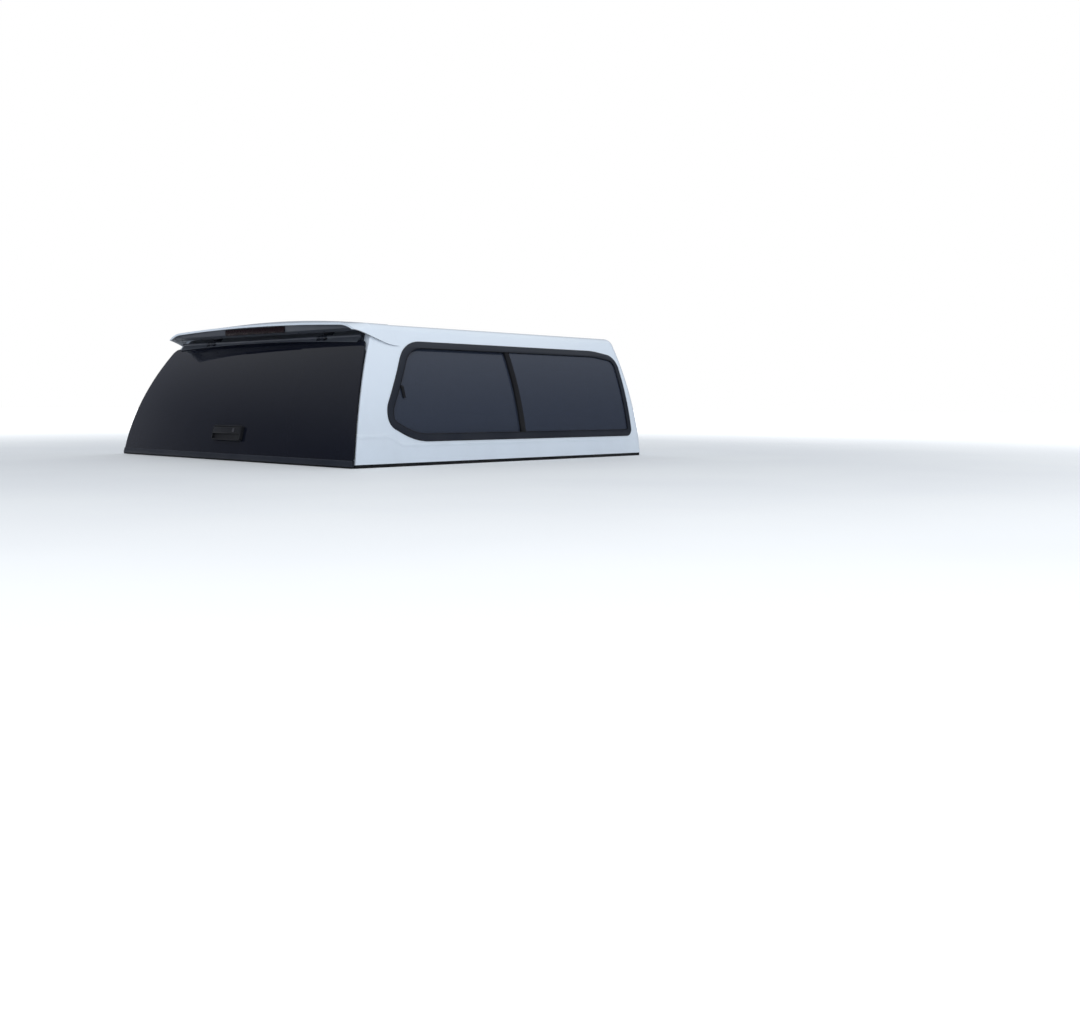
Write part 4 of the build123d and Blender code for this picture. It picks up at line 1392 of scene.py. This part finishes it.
@dataclass
class Studio:
    """Plain pale floor that fades into a white surround, soft lights and the camera.

    Attributes:
        floor_half: Half the floor's width.
        fade_start: Distance from the middle where the floor starts to fade to white.
        fade_end: Distance where it is all white.
        lens: Focal length in millimetres, on a sensor 36 mm wide.
        camera_place: Where the camera stands.
        camera_axes: The camera's own x, y and z directions.
    """

    floor_half: float = 30.0
    fade_start: float = 1.4
    fade_end: float = 9.0
    lens: float = 39.02
    camera_place: Point = (4.5196, -3.7549, 0.2622)
    camera_axes: tuple[Point, Point, Point] = (
        (0.73412783, 0.67899315, 0.00496209),
        (-0.06702964, 0.0651965, 0.99561862),
        (0.67569472, -0.73124395, 0.09337524),
    )

    def build(self) -> None:
        """Builds the floor, the lights and the camera."""
        self.build_floor()
        self.build_surround()
        self.build_lights()
        self.build_camera()

    def build_floor(self) -> None:
        """A pale floor that turns white far from the object."""
        bpy.ops.object.select_all(action="DESELECT")
        bpy.ops.mesh.primitive_plane_add(size=2 * self.floor_half)
        floor = bpy.context.object
        floor.name = "floor"
        nodes = Surface("pale_floor")
        tone = nodes.remap(nodes.noise(nodes.where, 0.8), 0.3, 0.7)
        away = nodes.vector_math("LENGTH", nodes.where).outputs["Value"]
        glow = nodes.remap(away, self.fade_start, self.fade_end)
        floor.data.materials.append(nodes.finish({
            "Base Color": nodes.mix(tone, (0.82, 0.83, 0.85), (0.86, 0.87, 0.88)),
            "Roughness": 0.7,
            "Emission Color": nodes.mix(glow, (0.0, 0.0, 0.0), (1.0, 1.0, 1.0)),
            "Emission Strength": 1.0,
        }))

    def build_surround(self) -> None:
        """A white surround that mirrors darker near the horizon, as between studio flags."""
        world = bpy.data.worlds.new("surround")
        bpy.context.scene.world = world
        world.use_nodes = True
        recipe = Recipe(world.node_tree)
        world.node_tree.nodes.clear()
        direction = recipe.add("ShaderNodeTexCoord").outputs["Generated"]
        high = recipe.remap(recipe.axis(direction, "Z"), 0.25, 0.95)
        sky = recipe.mix(high, (0.2, 0.21, 0.24), (0.95, 0.98, 1.0))
        tints = ((sky, 1.0), ((0.88, 0.94, 1.0, 1.0), 0.66), ((1.0, 1.0, 1.0, 1.0), 1.0))
        soft, even, plain = (
            recipe.add("ShaderNodeBackground", {"Color": tint, "Strength": strength}).outputs[0]
            for tint, strength in tints)
        path = recipe.add("ShaderNodeLightPath").outputs
        lit = recipe.add("ShaderNodeMixShader", {0: path["Is Glossy Ray"], 1: even, 2: soft}).outputs[0]
        seen = recipe.add("ShaderNodeMixShader", {0: path["Is Camera Ray"], 1: lit, 2: plain}).outputs[0]
        recipe.add("ShaderNodeOutputWorld", {0: seen})

    def build_lights(self) -> None:
        """Soft lights overhead and at the sides."""
        lights = (
            ("key_light", (3.0, -1.5, 4.5), 3.5, 60.0),
            ("fill_light", (-4.5, 1.0, 3.5), 4.0, 30.0),
            ("front_light", (-1.0, 5.0, 4.0), 4.0, 30.0),
        )
        for name, spot, size, power in lights:
            bpy.ops.object.light_add(type="AREA", location=spot)
            light = bpy.context.object
            light.name = name
            light.data.size = size
            light.data.energy = power
            light.visible_glossy = False
            aim = Vector((0.0, 0.0, 0.3)) - Vector(spot)
            light.rotation_euler = aim.to_track_quat("-Z", "Y").to_euler()

    def build_camera(self) -> None:
        """The camera at the viewing angle."""
        bpy.ops.object.camera_add()
        camera = bpy.context.object
        camera.name = "camera"
        camera.data.lens = self.lens
        camera.data.sensor_width = 36.0
        axes = Matrix(self.camera_axes).transposed().to_4x4()
        camera.matrix_world = Matrix.Translation(self.camera_place) @ axes
        bpy.context.scene.camera = camera
        bpy.context.scene.view_settings.view_transform = "Standard"


def main() -> None:
    """Builds everything in order."""
    Kit.build()
    Studio().build()
    dress_cad_nodes()
    for side in Side:
        SideWindow(side).build()
    RearDoor().build()
    Handle().build()
    Spoiler().build()
    FrontWindow().build()
    Base().build()


if __name__ == "__main__":
    main()
